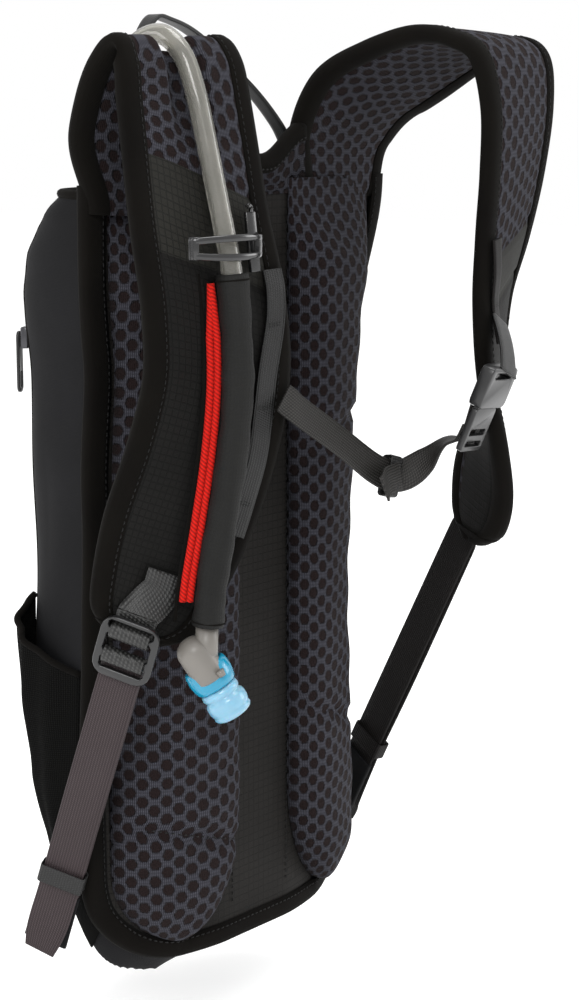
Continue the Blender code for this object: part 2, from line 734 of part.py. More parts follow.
RIGHT_STRAP = Ribbon(
    (
        ((-0.0780, -0.0005, 0.1535), (1.0, -0.20, 0.0), 0.074),
        ((-0.0780, 0.0003, 0.1740), (1.0, -0.20, 0.0), 0.074),
        ((-0.0778, -0.0030, 0.1930), (1.0, -0.18, 0.0), 0.072),
        ((-0.0772, -0.0085, 0.2080), (1.0, -0.13, 0.0), 0.071),
        ((-0.0766, -0.0170, 0.2165), (1.0, -0.12, 0.0), 0.071),
        ((-0.0760, -0.0235, 0.2085), (1.0, -0.15, 0.0), 0.071),
        ((-0.0760, -0.0265, 0.1930), (1.0, -0.18, 0.0), 0.072),
        ((-0.0760, -0.0305, 0.1700), (1.0, -0.20, 0.0), 0.073),
        ((-0.0765, -0.0360, 0.1400), (1.0, -0.20, 0.0), 0.075),
        ((-0.0730, -0.0405, 0.1050), (1.0, -0.22, 0.0), 0.077),
        ((-0.0710, -0.0405, 0.0700), (1.0, -0.26, -0.04), 0.078),
        ((-0.0760, -0.0350, 0.0350), (1.0, -0.36, -0.16), 0.076),
        ((-0.0850, -0.0265, 0.0000), (1.0, -0.46, -0.30), 0.072),
        ((-0.0930, -0.0205, -0.0260), (1.0, -0.56, -0.42), 0.062),
        ((-0.0985, -0.0175, -0.0400), (1.0, -0.62, -0.45), 0.052),
        ((-0.1020, -0.0160, -0.0500), (1.0, -0.66, -0.45), 0.030),
    ),
    STRAP_THICK, trough=(2.0, 3.0, 5.6, 7.4),
)
LEFT_STRAP = Ribbon(
    (
        ((0.0740, 0.0055, 0.1535), (1.0, 0.06, -0.05), 0.078),
        ((0.0745, 0.0050, 0.1740), (1.0, 0.05, -0.15), 0.080),
        ((0.0750, -0.0100, 0.1950), (1.0, 0.05, -0.33), 0.078),
        ((0.0755, -0.0360, 0.2090), (1.0, 0.0, -0.30), 0.074),
        ((0.0765, -0.0600, 0.2185), (1.0, 0.0, -0.18), 0.072),
        ((0.0780, -0.0800, 0.2205), (1.0, 0.0, -0.04), 0.070),
        ((0.0800, -0.0935, 0.2130), (1.0, 0.06, -0.02), 0.070),
        ((0.0810, -0.0975, 0.1900), (1.0, 0.14, 0.0), 0.070),
        ((0.0810, -0.0955, 0.1600), (1.0, 0.20, 0.0), 0.069),
        ((0.0800, -0.0915, 0.1300), (1.0, 0.28, 0.0), 0.068),
        ((0.0790, -0.0870, 0.1000), (1.0, 0.42, 0.0), 0.067),
        ((0.0815, -0.0840, 0.0650), (0.87, 0.50, 0.0), 0.064),
        ((0.0850, -0.0805, 0.0320), (0.66, 0.75, 0.0), 0.060),
        ((0.0885, -0.0760, 0.0050), (0.46, 0.89, 0.0), 0.056),
        ((0.0910, -0.0715, -0.0140), (0.40, 0.91, 0.20), 0.046),
        ((0.0925, -0.0695, -0.0260), (0.38, 0.91, 0.25), 0.026),
    ),
    STRAP_THICK,
)


def make_straps():
    add_node("right_shoulder_strap", RIGHT_STRAP.mesh(34), "pad_mesh", SWING_AXIS)
    add_node("left_shoulder_strap", LEFT_STRAP.mesh(32), "pad_mesh", SWING_AXIS)


def chain_stations(strap, marks):
    """Stations of a webbing that lies on a strap's face; marks are (place, across) pairs."""
    found = []
    for place, across in marks:
        side = strap.frame(place)[1]
        found.append((strap.on_face(place, across, WEBBING_THICK / 2 + GAP + 0.0006), side))
    return found


RIGHT_CHAIN = ((8.75, 0.0300), (9.0, 0.0295), (9.4, 0.0280), (9.9, 0.0225), (10.3, 0.0230),
               (10.85, 0.0245), (11.4, 0.0255), (11.8, 0.0255))
LEFT_CHAIN = ((9.0, -0.0270), (9.5, -0.0260), (10.0, -0.0240), (10.5, -0.0200))


def make_chains():
    right = strip(chain_stations(RIGHT_STRAP, RIGHT_CHAIN), 0.0105, WEBBING_THICK, 16)
    add_node("right_daisy_chain", right, "webbing", SWING_AXIS)
    left = strip(chain_stations(LEFT_STRAP, LEFT_CHAIN), 0.0105, WEBBING_THICK, 10)
    add_node("left_daisy_chain", left, "webbing", SWING_AXIS)


def make_red_cords():
    """Two cords side by side, tucked under the right edge of the hose sleeve."""
    for name, aside in (("red_cord_inner", 0.0090), ("red_cord_outer", 0.0123)):
        offset = Vector((-0.643, 0.766, 0.0)) * aside
        points = [smooth_at(SLEEVE_ROUTE, place) + offset for place in spread(0.15, 5.40, 7)]
        tube(name, points, CORD_RADIUS, "cord_red", 30, SWING_AXIS, sides=1)


# --- ladder-locks and lower webbing -----------------------------------------------------------

RIGHT_LOCK = frame_of((-0.1120, -0.0205, -0.0517), (0.469, -0.826, -0.314), (0.0, -0.355, 0.935))
LEFT_LOCK = frame_of((0.1085, -0.0594, -0.0157), (0.200, 0.880, 0.430), (0.0, -0.4475, 0.894))


def in_frame(frame, u, v, w):
    return frame @ Vector((u, v, w))


def lock_section(frame, marks, side):
    return [(in_frame(frame, 0.0, v, w), side) for v, w in marks]


def make_ladder_lock(name, frame):
    """A flat frame with three slots between its rims and two bars, and a lifted thumb lip."""
    loops = [
        rounded(-LOCK_HALF, LOCK_HALF, -0.0150, 0.0152, 0.0070),
        rounded(-LOCK_SLOT, LOCK_SLOT, UPPER_BAR + BAR_HALF, 0.0133, 0.0010, 1),
        rounded(-LOCK_SLOT, LOCK_SLOT, LOWER_BAR + BAR_HALF, UPPER_BAR - BAR_HALF, 0.0012, 1),
        rounded(-LOCK_SLOT, LOCK_SLOT, -0.0112, LOWER_BAR - BAR_HALF, 0.0012, 1),
    ]
    pivot = in_frame(frame, 0.0, UPPER_BAR, 0.0)
    outline(name, loops, LOCK_THICK, frame, "buckle_plastic", bevel=0.0004, pivot=pivot)


def make_lower_webbing(name, frame, load_end, tail_end):
    """One webbing: up from the pack behind the lock, over its lower bar and back down outside."""
    side = frame.to_3x3() @ Vector((1.0, 0.0, 0.0))
    bend = [(LOWER_BAR + 0.0027 * math.sin(a), -0.0027 * math.cos(a)) for a in spread(0.15, math.pi - 0.1, 6)]
    load = [(load_end, -0.0044), (load_end * 0.5, -0.0044), (-0.0200, -0.0044), (-0.0100, -0.0038)]
    tail = [(-0.0066, 0.0024), (-0.0080, 0.0005), (-0.0096, -0.0017), (-0.0117, -0.0028), (-0.0160, -0.0029),
            (-0.0230, -0.0020),
            (tail_end * 0.5, -0.0010), (tail_end, -0.0010)]
    stations = lock_section(frame, load + bend + tail, side)
    pivot = in_frame(frame, 0.0, load_end, -0.0044)
    add_node(name, strip(stations, WEBBING, WEBBING_THICK, 32), "grey_webbing", pivot)


def loop_band(frame, place, length, outer, inner):
    """A closed band of rounded section around a webbing that runs along the frame's Y."""
    rings = []
    for loop, ends in ((outer, (-0.5, 0.5)), (inner, (0.5, -0.5))):
        for end in ends:
            rings.append([in_frame(frame, u, place + end * length, w) for u, w in loop])
    return loft(rings, closed=True)


def make_keeper(name, frame, place):
    """A flat elastic loop around both runs of the webbing."""
    outer = rounded(-0.0128, 0.0128, -0.0068, 0.0014, 0.0018, 2)
    inner = rounded(-0.0117, 0.0117, -0.0057, 0.0003, 0.0010, 2)
    mesh = loop_band(frame, place, 0.0090, outer, inner)
    add_node(name, mesh, "webbing", in_frame(frame, 0.0, place, -0.0027), smooth=False)


def make_anchor(name, frame, top, foot):
    """A fabric sleeve on the side seam that the webbing's sewn end sits in."""
    outer = rounded(-0.0122, 0.0122, -0.0064, -0.0023, 0.0010, 2)
    inner = rounded(-0.0112, 0.0112, -0.0056, -0.0031, 0.0006, 2)
    rings = [
        [in_frame(frame, u, foot, w) for u, w in outer],
        [in_frame(frame, u, top, w) for u, w in outer],
        [in_frame(frame, u, top, w) for u, w in inner],
        [in_frame(frame, u, foot + 0.002, w) for u, w in inner],
    ]
    pivot = in_frame(frame, 0.0, foot, -0.0044)
    add_node(name, loft(rings), "shell_fabric", pivot, smooth=False)


def make_lock_tab(name, frame, strap, marks):
    """The short webbing that loops round the lock's upper bar and is sewn on the strap's face."""
    side = frame.to_3x3() @ Vector((1.0, 0.0, 0.0))
    bend = [(UPPER_BAR - 0.0033 * math.sin(a), 0.0029 * math.cos(a)) for a in spread(0.0, math.pi, 7)]
    front = [(0.0175, -0.0032), (0.0144, -0.0032), (0.0123, -0.0029), (0.0113, -0.0010), (0.0105, 0.0017)]
    back = [(0.0110, -0.0041), (0.0145, -0.0046), (0.0170, -0.0047)]
    stations = lock_section(frame, front + bend + back, side)
    for place, across in marks:
        lift = WEBBING_THICK / 2 + 0.0032
        stations.append((strap.on_face(place, across, lift), strap.frame(place)[1]))
    add_node(name, strip(stations, WEBBING - 0.001, WEBBING_THICK, 28), "webbing", SWING_AXIS)


# --- sternum strap ----------------------------------------------------------------------------

BUCKLE = frame_of((0.0440, -0.1061, 0.0486), (0.98, 0.15, -0.09), (0.14, -0.336, 0.931))
STERNUM_ROUTE = (
    (-0.0440, -0.0565, 0.0600),
    (-0.0364, -0.0605, 0.0528),
    (-0.0119, -0.0640, 0.0367),
    (0.0110, -0.0680, 0.0205),
    (0.0245, -0.0720, 0.0160),
    (0.0350, -0.0795, 0.0235),
    (0.0385, -0.0885, 0.0325),
)


def sternum_side(frame):
    return frame.to_3x3() @ Vector((1.0, 0.0, 0.0))


def make_sternum():
    side = sternum_side(BUCKLE)
    sides = [(0.35, 0.25, 0.90), (0.40, 0.20, 0.85), (0.45, 0.20, 0.85), (0.35, 0.10, 0.90),
             (0.25, 0.05, 0.95), (0.50, 0.45, 0.75), (0.85, 0.45, 0.20)]
    stations = list(zip([Vector(p) for p in STERNUM_ROUTE], [Vector(s) for s in sides]))
    stations.append((in_frame(BUCKLE, 0.0, -0.0165, -0.0045), side))
    stations.append((in_frame(BUCKLE, 0.0, -0.0085, -0.0036), side))
    mesh = strip(stations, STERNUM_WEBBING, WEBBING_THICK, 30)
    add_node("sternum_webbing", mesh, "webbing", SWING_AXIS)
    plate = [
        rounded(-0.0105, 0.0105, -0.0205, 0.0020, 0.0020, 2),
        rounded(-0.0080, 0.0080, -0.0180, -0.0152, 0.0008, 1),
        rounded(-0.0080, 0.0080, -0.0122, -0.0090, 0.0008, 1),
    ]
    male = outline("sternum_buckle_male", plate, 0.0032, BUCKLE, "buckle_plastic", 0.0004)
    for side_sign in (-1.0, 1.0):
        prong = frame_of(in_frame(BUCKLE, side_sign * 0.0085, 0.0070, 0.0), BUCKLE.col[0].xyz, BUCKLE.col[1].xyz)
        size = (0.0022, 0.0130, 0.0026)
        boolean(male, cutter(f"prong_cutter_{side_sign:.0f}", placed_box(size, prong)), "UNION")
    body = [rounded(-0.0135, 0.0135, 0.0026, 0.0235, 0.0030, 2), rounded(-0.0085, 0.0085, 0.0178, 0.0208, 0.0008, 1)]
    female = outline("sternum_buckle_female", body, 0.0066, BUCKLE, "buckle_plastic", 0.0006)
    mouth = frame_of(in_frame(BUCKLE, 0.0, 0.0080, 0.0), BUCKLE.col[0].xyz, BUCKLE.col[1].xyz)
    mouth_cutter = cutter("mouth_cutter", placed_box((0.0204, 0.0156, 0.0036), mouth))
    boolean(female, mouth_cutter, "DIFFERENCE")


def make_female_loop():
    """The short webbing from the left strap's chain to the female buckle's bar."""
    side = sternum_side(BUCKLE)
    stations = [
        (LEFT_STRAP.on_face(10.20, -0.0240, 0.0034), LEFT_STRAP.frame(10.2)[1]),
        (LEFT_STRAP.on_face(10.45, -0.0235, 0.0060), LEFT_STRAP.frame(10.4)[1]),
        (in_frame(BUCKLE, 0.0, 0.0300, 0.0046), side),
        (in_frame(BUCKLE, 0.0, 0.0215, 0.0046), side),
    ]
    add_node("female_buckle_loop", strip(stations, 0.0140, WEBBING_THICK, 12), "webbing", SWING_AXIS)


def make_sternum_keeper():
    """The elastic band that gathers the sternum strap's spare end."""
    place = 3.55
    centre = smooth_at(STERNUM_ROUTE, place)
    along = smooth_at(STERNUM_ROUTE, place + 0.05) - smooth_at(STERNUM_ROUTE, place - 0.05)
    frame = frame_of(centre, (0.30, 0.08, 0.93), along)
    outer = rounded(-0.0106, 0.0106, -0.0041, 0.0041, 0.0018, 2)
    inner = rounded(-0.0095, 0.0095, -0.0031, 0.0031, 0.0009, 2)
    add_node("sternum_keeper", loop_band(frame, 0.0, 0.0060, outer, inner), "webbing", centre, smooth=False)


# --- hose clip, grab handle, zips, light loop -------------------------------------------------

CLIP_Z = 0.1300
CLIP_PIVOT = Vector((-0.0580, -0.0525, CLIP_Z))


def make_hose_clip():
    base = frame_of((-0.0570, -0.0492, CLIP_Z + 0.001), (1.0, -0.20, 0.0), (0.0, 0.12, 1.0))
    add_node("hose_clip_base", placed_box((0.0055, 0.0270, 0.0024), base, 0.0005), "buckle_plastic",
             CLIP_PIVOT, smooth=False)
    route = ((-0.0575, -0.0522), (-0.0615, -0.0575), (-0.0690, -0.0596), (-0.0790, -0.0590),
             (-0.0880, -0.0560), (-0.0950, -0.0515), (-0.0975, -0.0480))
    stations = [((x, y, CLIP_Z), (0.0, 0.0, 1.0)) for x, y in route]
    arm = add_node("hose_clip_arm", strip(stations, 0.0105, 0.0016, 24), "buckle_plastic", CLIP_PIVOT)
    slot = placed_box((0.0220, 0.0160, 0.0040), Matrix.Translation((-0.0800, -0.0570, CLIP_Z)))
    boolean(arm, cutter("clip_slot_cutter", slot), "DIFFERENCE")


HANDLE_PIVOT = Vector((0.0, 0.0085, 0.1716))


def make_grab_handle():
    """A webbing arch between the strap roots; it leans towards the right strap."""
    points = ((-0.0560, 0.0085, 0.1620), (-0.0640, 0.0085, 0.1850), (-0.0690, 0.0085, 0.2050),
              (-0.0680, 0.0085, 0.2190), (-0.0600, 0.0085, 0.2300), (-0.0510, 0.0085, 0.2300),
              (-0.0300, 0.0085, 0.2227), (0.0060, 0.0085, 0.2000), (0.0267, 0.0085, 0.1828),
              (0.0312, 0.0085, 0.1770))
    stations = [(Vector(p), (0.0, 1.0, 0.0)) for p in points]
    add_node("grab_handle", strip(stations, 0.0080, 0.0016, 28), "webbing", HANDLE_PIVOT)


def make_zips():
    """Two sliders on the front zip's straight runs, each with a hanging pull."""
    for name, hand in (("right", -1.0), ("left", 1.0)):
        z = 0.080
        turn = 0.5 * math.pi * (1 - 0.52)
        while shell_point(turn, z).x < -ZIP_LINE:
            turn += 0.002
        surface = shell_point(turn, z)
        ahead = (shell_point(turn + 0.02, z) - surface).normalized()
        out = Vector((-ahead.y, ahead.x, 0.0))
        out = out if out.y > 0 else -out
        centre = surface + out * (0.0024 + 0.0003)
        centre.x *= -hand
        out.x *= -hand
        across = Vector((out.y, -out.x, 0.0))
        body = frame_of(centre, across, (0.0, 0.0, 1.0))
        add_node(f"{name}_zip_slider", placed_box((0.0080, 0.0105, 0.0040), body, 0.0008),
                 "zip_metal", centre, smooth=False)
        pull_at = centre + out * 0.0036 + Vector((0.0, 0.0, -0.0120))
        pull = frame_of(pull_at, across, (0.0, 0.0, 1.0))
        loops = [rounded(-0.0035, 0.0035, -0.0150, 0.0150, 0.0030), rounded(-0.0020, 0.0020, -0.0125, -0.0045, 0.0018, 2)]
        pivot = in_frame(pull, 0.0, 0.0142, 0.0)
        outline(f"{name}_zip_pull", loops, 0.0014, pull, "webbing", pivot=pivot)


def make_light_loop():
    """A webbing bridge on the front for a clip-on light."""
    z = -0.100
    surface = shell_point(math.pi / 2, z)
    marks = ((0.0160, 0.0012), (0.0130, 0.0012), (0.0110, 0.0030), (0.0090, 0.0060), (0.0060, 0.0064),
             (0.0030, 0.0064), (-0.0030, 0.0064), (-0.0060, 0.0064), (-0.0090, 0.0060), (-0.0110, 0.0030),
             (-0.0130, 0.0012), (-0.0160, 0.0012))
    stations = [((0.0, surface.y + lift, z + up), (1.0, 0.0, 0.0)) for up, lift in marks]
    add_node("light_loop", strip(stations, 0.0250, 0.0012, 45), "webbing", smooth=False)


def build():
    make_back_panel()
    make_back_binding()
    make_yoke()
    make_back_pod("right_back_pod", -1.0, RIGHT_POD_INNER)
    make_back_pod("left_back_pod", 1.0, LEFT_POD_INNER)
    make_bag()
    make_side_pocket("right_side_pocket", False)
    make_side_pocket("left_side_pocket", True)
    make_divider()
    make_reservoir()
    make_reservoir_fittings()
    make_hose()
    make_valve()
    make_straps()
    make_chains()
    make_red_cords()
    for hand, frame, strap, keeper, tail in (
        ("right", RIGHT_LOCK, RIGHT_STRAP, -0.128, -0.172),
        ("left", LEFT_LOCK, LEFT_STRAP, -0.151, -0.202),
    ):
        make_ladder_lock(f"{hand}_ladder_lock", frame)
        make_lower_webbing(f"{hand}_lower_webbing", frame, keeper - 0.036, tail)
        make_keeper(f"{hand}_webbing_keeper", frame, keeper)
        make_anchor(f"{hand}_webbing_anchor", frame, keeper - 0.010, keeper - 0.040)
        make_lock_tab(f"{hand}_lock_tab", frame, strap, ((13.0, 0.0), (12.6, 0.0)))
    make_sternum()
    make_female_loop()
    make_sternum_keeper()
    make_hose_clip()
    make_grab_handle()
    make_zips()
    make_light_loop()


build()
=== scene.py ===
"""Looks of the hydration pack: fabrics, webbing, padding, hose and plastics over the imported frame."""

import json
import math

import bmesh
import bpy
from mathutils import Matrix, Vector


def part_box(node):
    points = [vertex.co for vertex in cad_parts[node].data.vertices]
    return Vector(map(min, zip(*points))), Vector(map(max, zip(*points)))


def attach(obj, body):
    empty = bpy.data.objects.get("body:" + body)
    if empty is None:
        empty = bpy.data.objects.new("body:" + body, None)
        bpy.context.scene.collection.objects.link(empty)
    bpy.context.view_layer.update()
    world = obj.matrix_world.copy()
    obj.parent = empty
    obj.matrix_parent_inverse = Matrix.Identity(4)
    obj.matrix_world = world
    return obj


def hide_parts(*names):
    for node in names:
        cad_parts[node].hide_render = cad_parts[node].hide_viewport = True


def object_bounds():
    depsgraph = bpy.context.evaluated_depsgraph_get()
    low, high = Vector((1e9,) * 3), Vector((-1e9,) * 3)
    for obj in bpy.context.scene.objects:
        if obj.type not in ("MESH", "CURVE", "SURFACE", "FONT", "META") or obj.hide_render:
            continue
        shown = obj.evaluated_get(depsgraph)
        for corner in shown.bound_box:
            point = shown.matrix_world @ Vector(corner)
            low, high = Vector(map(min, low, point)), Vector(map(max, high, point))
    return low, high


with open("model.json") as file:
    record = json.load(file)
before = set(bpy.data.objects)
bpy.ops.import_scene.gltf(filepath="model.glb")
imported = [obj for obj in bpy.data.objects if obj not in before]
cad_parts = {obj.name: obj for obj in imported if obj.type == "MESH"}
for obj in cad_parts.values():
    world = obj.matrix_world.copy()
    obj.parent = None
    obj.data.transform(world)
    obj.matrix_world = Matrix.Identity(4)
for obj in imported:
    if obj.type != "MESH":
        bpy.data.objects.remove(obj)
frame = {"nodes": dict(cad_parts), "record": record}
CAD_LOW, CAD_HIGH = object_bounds()

PANEL_BOTTOM, PANEL_TOP = -0.2165, 0.1555
CORNER_RADIUS = 0.042
CHANNEL_HALF = 0.022
POD_CROWN = 0.0178
BAG_DEPTH = 0.07
BOTTOM_SAG = 0.026
PANEL_WIDTHS = ((-0.2165, 0.0916), (-0.15, 0.0916), (-0.05, 0.087), (0.06, 0.0896), (0.15, 0.0996))
PANEL_EDGES = ((-0.2165, 0.02), (-0.06, 0.021), (0.01, 0.018), (0.08, 0.013), (0.15, 0.006))


# --- camera, light and floor --------------------------------------------------------------------

CAMERA_TURN, CAMERA_DOWN = -50.0, 10.714537  # degrees from facing +Y, and down from level


def add_object(name, data):
    """A new object, linked to the scene."""
    obj = bpy.data.objects.new(name, data)
    bpy.context.scene.collection.objects.link(obj)
    return obj


def make_camera():
    data = bpy.data.cameras.new("camera")
    camera = add_object("camera", data)
    camera.location = (-0.775, -0.6735, 0.1934)
    camera.rotation_euler = (math.radians(90.0 - CAMERA_DOWN), 0.0, math.radians(CAMERA_TURN))
    data.lens = 76.1
    data.sensor_width = 36
    data.clip_start = 0.01
    data.dof.use_dof = False
    bpy.context.scene.camera = camera


def make_stage():
    floor_mesh = bpy.data.meshes.new("floor")
    floor_mesh.from_pydata([(-6, -6, 0), (6, -6, 0), (6, 6, 0), (-6, 6, 0)], [], [(0, 1, 2, 3)])
    floor = add_object("floor", floor_mesh)
    floor.location.z = CAD_LOW.z - 0.035
    skin = bpy.data.materials.new("floor_paint")
    skin.use_nodes = True
    shader = skin.node_tree.nodes["Principled BSDF"]
    shader.inputs["Base Color"].default_value = (0.97, 0.97, 0.97, 1)
    shader.inputs["Roughness"].default_value = 1.0
    shader.inputs["Specular IOR Level"].default_value = 0.0
    shader.inputs["Emission Color"].default_value = (1.0, 1.0, 1.0, 1)
    shader.inputs["Emission Strength"].default_value = 0.16
    floor.data.materials.append(skin)
    bpy.context.scene.view_settings.view_transform = "Standard"
    world = bpy.data.worlds.new("studio")
    bpy.context.scene.world = world
    world.use_nodes = True
    world.node_tree.nodes["Background"].inputs["Color"].default_value = (1.0, 1.0, 1.0, 1)
    world.node_tree.nodes["Background"].inputs["Strength"].default_value = 1.0
    for name, place, size, power, aim in (
        ("key", (-1.9, -1.2, 1.5), 1.0, 30, (0.0, 0.0, 0.0)),
        ("side", (-1.6, 1.1, 0.6), 0.8, 8, (0.0, 0.03, 0.0)),
        ("top", (0.3, -0.2, 2.0), 1.0, 20, (0.0, 0.0, 0.1)),
        ("far", (1.6, -1.3, 0.6), 0.8, 10, (0.05, -0.05, 0.0)),
    ):
        lamp = bpy.data.lights.new(name, "AREA")
        lamp.size = size
        lamp.energy = power
        obj = add_object(name, lamp)
        obj.location = place
        obj.rotation_euler = (Vector(aim) - Vector(place)).to_track_quat("-Z", "Y").to_euler()


make_camera()
make_stage()


# --- materials ----------------------------------------------------------------------------------


def rgb(code):
    """Linear colour of a six-digit hex code."""
    parts = [int(code[i:i + 2], 16) / 255 for i in (1, 3, 5)]
    return tuple(p / 12.92 if p <= 0.04045 else ((p + 0.055) / 1.055) ** 2.4 for p in parts) + (1.0,)


class Skin:
    """A procedural material built step by step; every pattern is laid out in metres on the UV map."""

    def __init__(self, name):
        self.made = bpy.data.materials.new(name)
        self.made.use_nodes = True
        self.tree = self.made.node_tree
        self.shader = self.tree.nodes["Principled BSDF"]
        self.height = None
        uv = self.tree.nodes.new("ShaderNodeUVMap")
        parts = self.tree.nodes.new("ShaderNodeSeparateXYZ")
        self.tree.links.new(uv.outputs[0], parts.inputs[0])
        self.u, self.v = parts.outputs[0], parts.outputs[1]
        self.place = self.tree.nodes.new("ShaderNodeTexCoord").outputs["Object"]

    def put(self, socket, value):
        if isinstance(value, (int, float, tuple)):
            socket.default_value = value
        else:
            self.tree.links.new(value, socket)

    def math(self, operation, a, b=0.0, c=0.0):
        node = self.tree.nodes.new("ShaderNodeMath")
        node.operation = operation
        for socket, value in zip(node.inputs, (a, b, c)):
            self.put(socket, value)
        return node.outputs[0]

    def times(self, a, b):
        return self.math("MULTIPLY", a, b)

    def plus(self, a, b):
        return self.math("ADD", a, b)

    def ramp(self, value, low, high, first=0.0, last=1.0):
        node = self.tree.nodes.new("ShaderNodeMapRange")
        node.interpolation_type = "SMOOTHSTEP"
        for socket, item in zip(node.inputs, (value, low, high, first, last)):
            self.put(socket, item)
        return node.outputs[0]

    def mix(self, share, first, second):
        node = self.tree.nodes.new("ShaderNodeMix")
        node.data_type = "RGBA"
        self.put(node.inputs[0], share)
        self.put(node.inputs[6], first)
        self.put(node.inputs[7], second)
        return node.outputs[2]

    def noise(self, scale, detail=3.0):
        node = self.tree.nodes.new("ShaderNodeTexNoise")
        node.inputs["Scale"].default_value = scale
        node.inputs["Detail"].default_value = detail
        self.tree.links.new(self.place, node.inputs["Vector"])
        return node.outputs[0]

    def waves(self, value, pitch):
        """A cosine of the value, from 0 to 1, once in each pitch."""
        turned = self.times(value, 2 * math.pi / pitch)
        return self.math("MULTIPLY_ADD", self.math("COSINE", turned), 0.5, 0.5)

    def weave(self, pitch):
        return self.times(self.waves(self.u, pitch), self.waves(self.v, pitch))

    def lines(self, value, pitch, width):
        """1 on thin lines a pitch apart."""
        part = self.math("FRACT", self.math("DIVIDE", value, pitch))
        away = self.math("ABSOLUTE", self.math("SUBTRACT", part, 0.5))
        return self.ramp(self.times(away, pitch), width * 0.4, width, 1.0, 0.0)

    def bump(self, height, distance, strength=1.0):
        node = self.tree.nodes.new("ShaderNodeBump")
        node.inputs["Strength"].default_value = strength
        node.inputs["Distance"].default_value = distance
        self.tree.links.new(height, node.inputs["Height"])
        if self.height is not None:
            self.tree.links.new(self.height, node.inputs["Normal"])
        self.height = node.outputs[0]

    def done(self, colour, roughness, sheen=0.0, **more):
        self.put(self.shader.inputs["Base Color"], colour)
        self.put(self.shader.inputs["Roughness"], roughness)
        self.shader.inputs["Sheen Weight"].default_value = sheen
        self.shader.inputs["Sheen Roughness"].default_value = 0.5
        for key, value in more.items():
            self.shader.inputs[key.replace("_", " ")].default_value = value
        if self.height is not None:
            self.tree.links.new(self.height, self.shader.inputs["Normal"])
        return self.made


def mesh_knit(name, wide, tall, stretch):
    """Spacer mesh: a blue-grey knit with round sunk holes in staggered columns."""
    skin = Skin(name)
    column = skin.math("DIVIDE", skin.u, wide)
    odd = skin.math("MODULO", skin.math("FLOOR", column), 2.0)
    shift = skin.math("ABSOLUTE", skin.times(odd, 0.5))
    row = skin.plus(skin.math("DIVIDE", skin.v, tall), shift)
    across = skin.times(skin.math("SUBTRACT", skin.math("FRACT", column), 0.5), wide)
    along = skin.times(skin.math("SUBTRACT", skin.math("FRACT", row), 0.5), tall)
    across, along = skin.math("ABSOLUTE", across), skin.math("ABSOLUTE", along)
    across = skin.times(across, stretch)
    slant = skin.plus(skin.times(across, 0.866), skin.times(along, 0.5))
    away = skin.math("SMOOTH_MAX", slant, along, 0.001)
    ragged = skin.math("MULTIPLY_ADD", skin.noise(900.0, 2.0), 0.0011, -0.00055)
    away = skin.plus(away, ragged)
    hole = skin.ramp(away, 0.0022, 0.0033, 1.0, 0.0)
    courses = skin.ramp(skin.waves(skin.v, 0.0017), 0.0, 1.0, 0.5, 1.0)
    knit = skin.times(skin.waves(skin.u, 0.00105), courses)
    patch = skin.noise(30.0, 3.0)
    base = skin.mix(knit, rgb("#1f1f24"), rgb("#4a4a52"))
    base = skin.mix(skin.times(patch, 0.6), base, rgb("#2a2a2f"))
    # The holes' fill: the darker layer under the knit, painted near black with the shade inside the sunk
    # holes.
    inside = skin.mix(skin.noise(1600.0, 2.0), rgb("#080606"), rgb("#241a1a"))
    skin.bump(skin.math("SUBTRACT", 1.0, hole), 0.0014, 1.0)
    skin.bump(knit, 0.00022, 0.8)
    return skin.done(skin.mix(hole, base, inside), 0.9, 0.01, Specular_IOR_Level=0.1)


def woven(name, dark, light, pitch, rough=0.8, sheen=0.08, grid=0.0, grid_gain=0.5, spec=0.2):
    """A plain fabric with a fine weave, faint mottling and, if wanted, a ripstop grid."""
    skin = Skin(name)
    thread = skin.weave(pitch)
    tone = skin.math("MULTIPLY_ADD", skin.noise(22.0, 4.0), 0.75, skin.times(thread, 0.35))
    colour = skin.mix(tone, rgb(dark), rgb(light))
    if grid:
        rip = skin.math("MAXIMUM", skin.lines(skin.u, grid, 0.00045), skin.lines(skin.v, grid, 0.00045))
        colour = skin.mix(skin.times(rip, grid_gain), colour, rgb(dark))
        skin.bump(rip, 0.00025, 0.5)
    skin.bump(skin.noise(45.0, 3.0), 0.0012, 0.35)
    skin.bump(thread, 0.00012, 0.6)
    return skin.done(colour, rough, sheen, Specular_IOR_Level=spec)


def ripstop(name, dark, light, grid, grid_gain, spec):
    """A plain fabric with a grid of thicker threads."""
    return woven(name, dark, light, 0.0007, 0.65, 0.0, grid=grid, grid_gain=grid_gain, spec=spec)


def tape(name, dark, light, rib, cross, rough=0.62, shine=0.0):
    """Webbing: ribs along its length with a cross weave, worn a little lighter at random."""
    skin = Skin(name)
    ribs = skin.waves(skin.u, rib)
    picks = skin.waves(skin.plus(skin.v, skin.times(skin.u, 0.35)), cross)
    thread = skin.times(skin.ramp(ribs, 0.0, 1.0, 0.25, 1.0),
                        skin.ramp(picks, 0.0, 1.0, 0.4, 1.0))
    colour = skin.mix(thread, rgb(dark), rgb(light))
    colour = skin.mix(skin.times(skin.noise(40.0, 4.0), 0.35), colour, rgb(dark))
    skin.bump(thread, 0.0003, 0.9)
    return skin.done(colour, rough, 0.0, Specular_IOR_Level=0.14 + shine)


def binding_tape():
    skin = Skin("binding_tape")
    twill = skin.waves(skin.plus(skin.v, skin.u), 0.0009)
    tone = skin.math("MULTIPLY_ADD", skin.noise(30.0, 4.0), 0.7, 0.0)
    colour = skin.mix(tone, rgb("#060505"), rgb("#15130f"))
    skin.bump(skin.noise(70.0, 3.0), 0.001, 0.4)
    skin.bump(twill, 0.00012, 0.5)
    return skin.done(colour, 0.9, 0.01, Specular_IOR_Level=0.06)


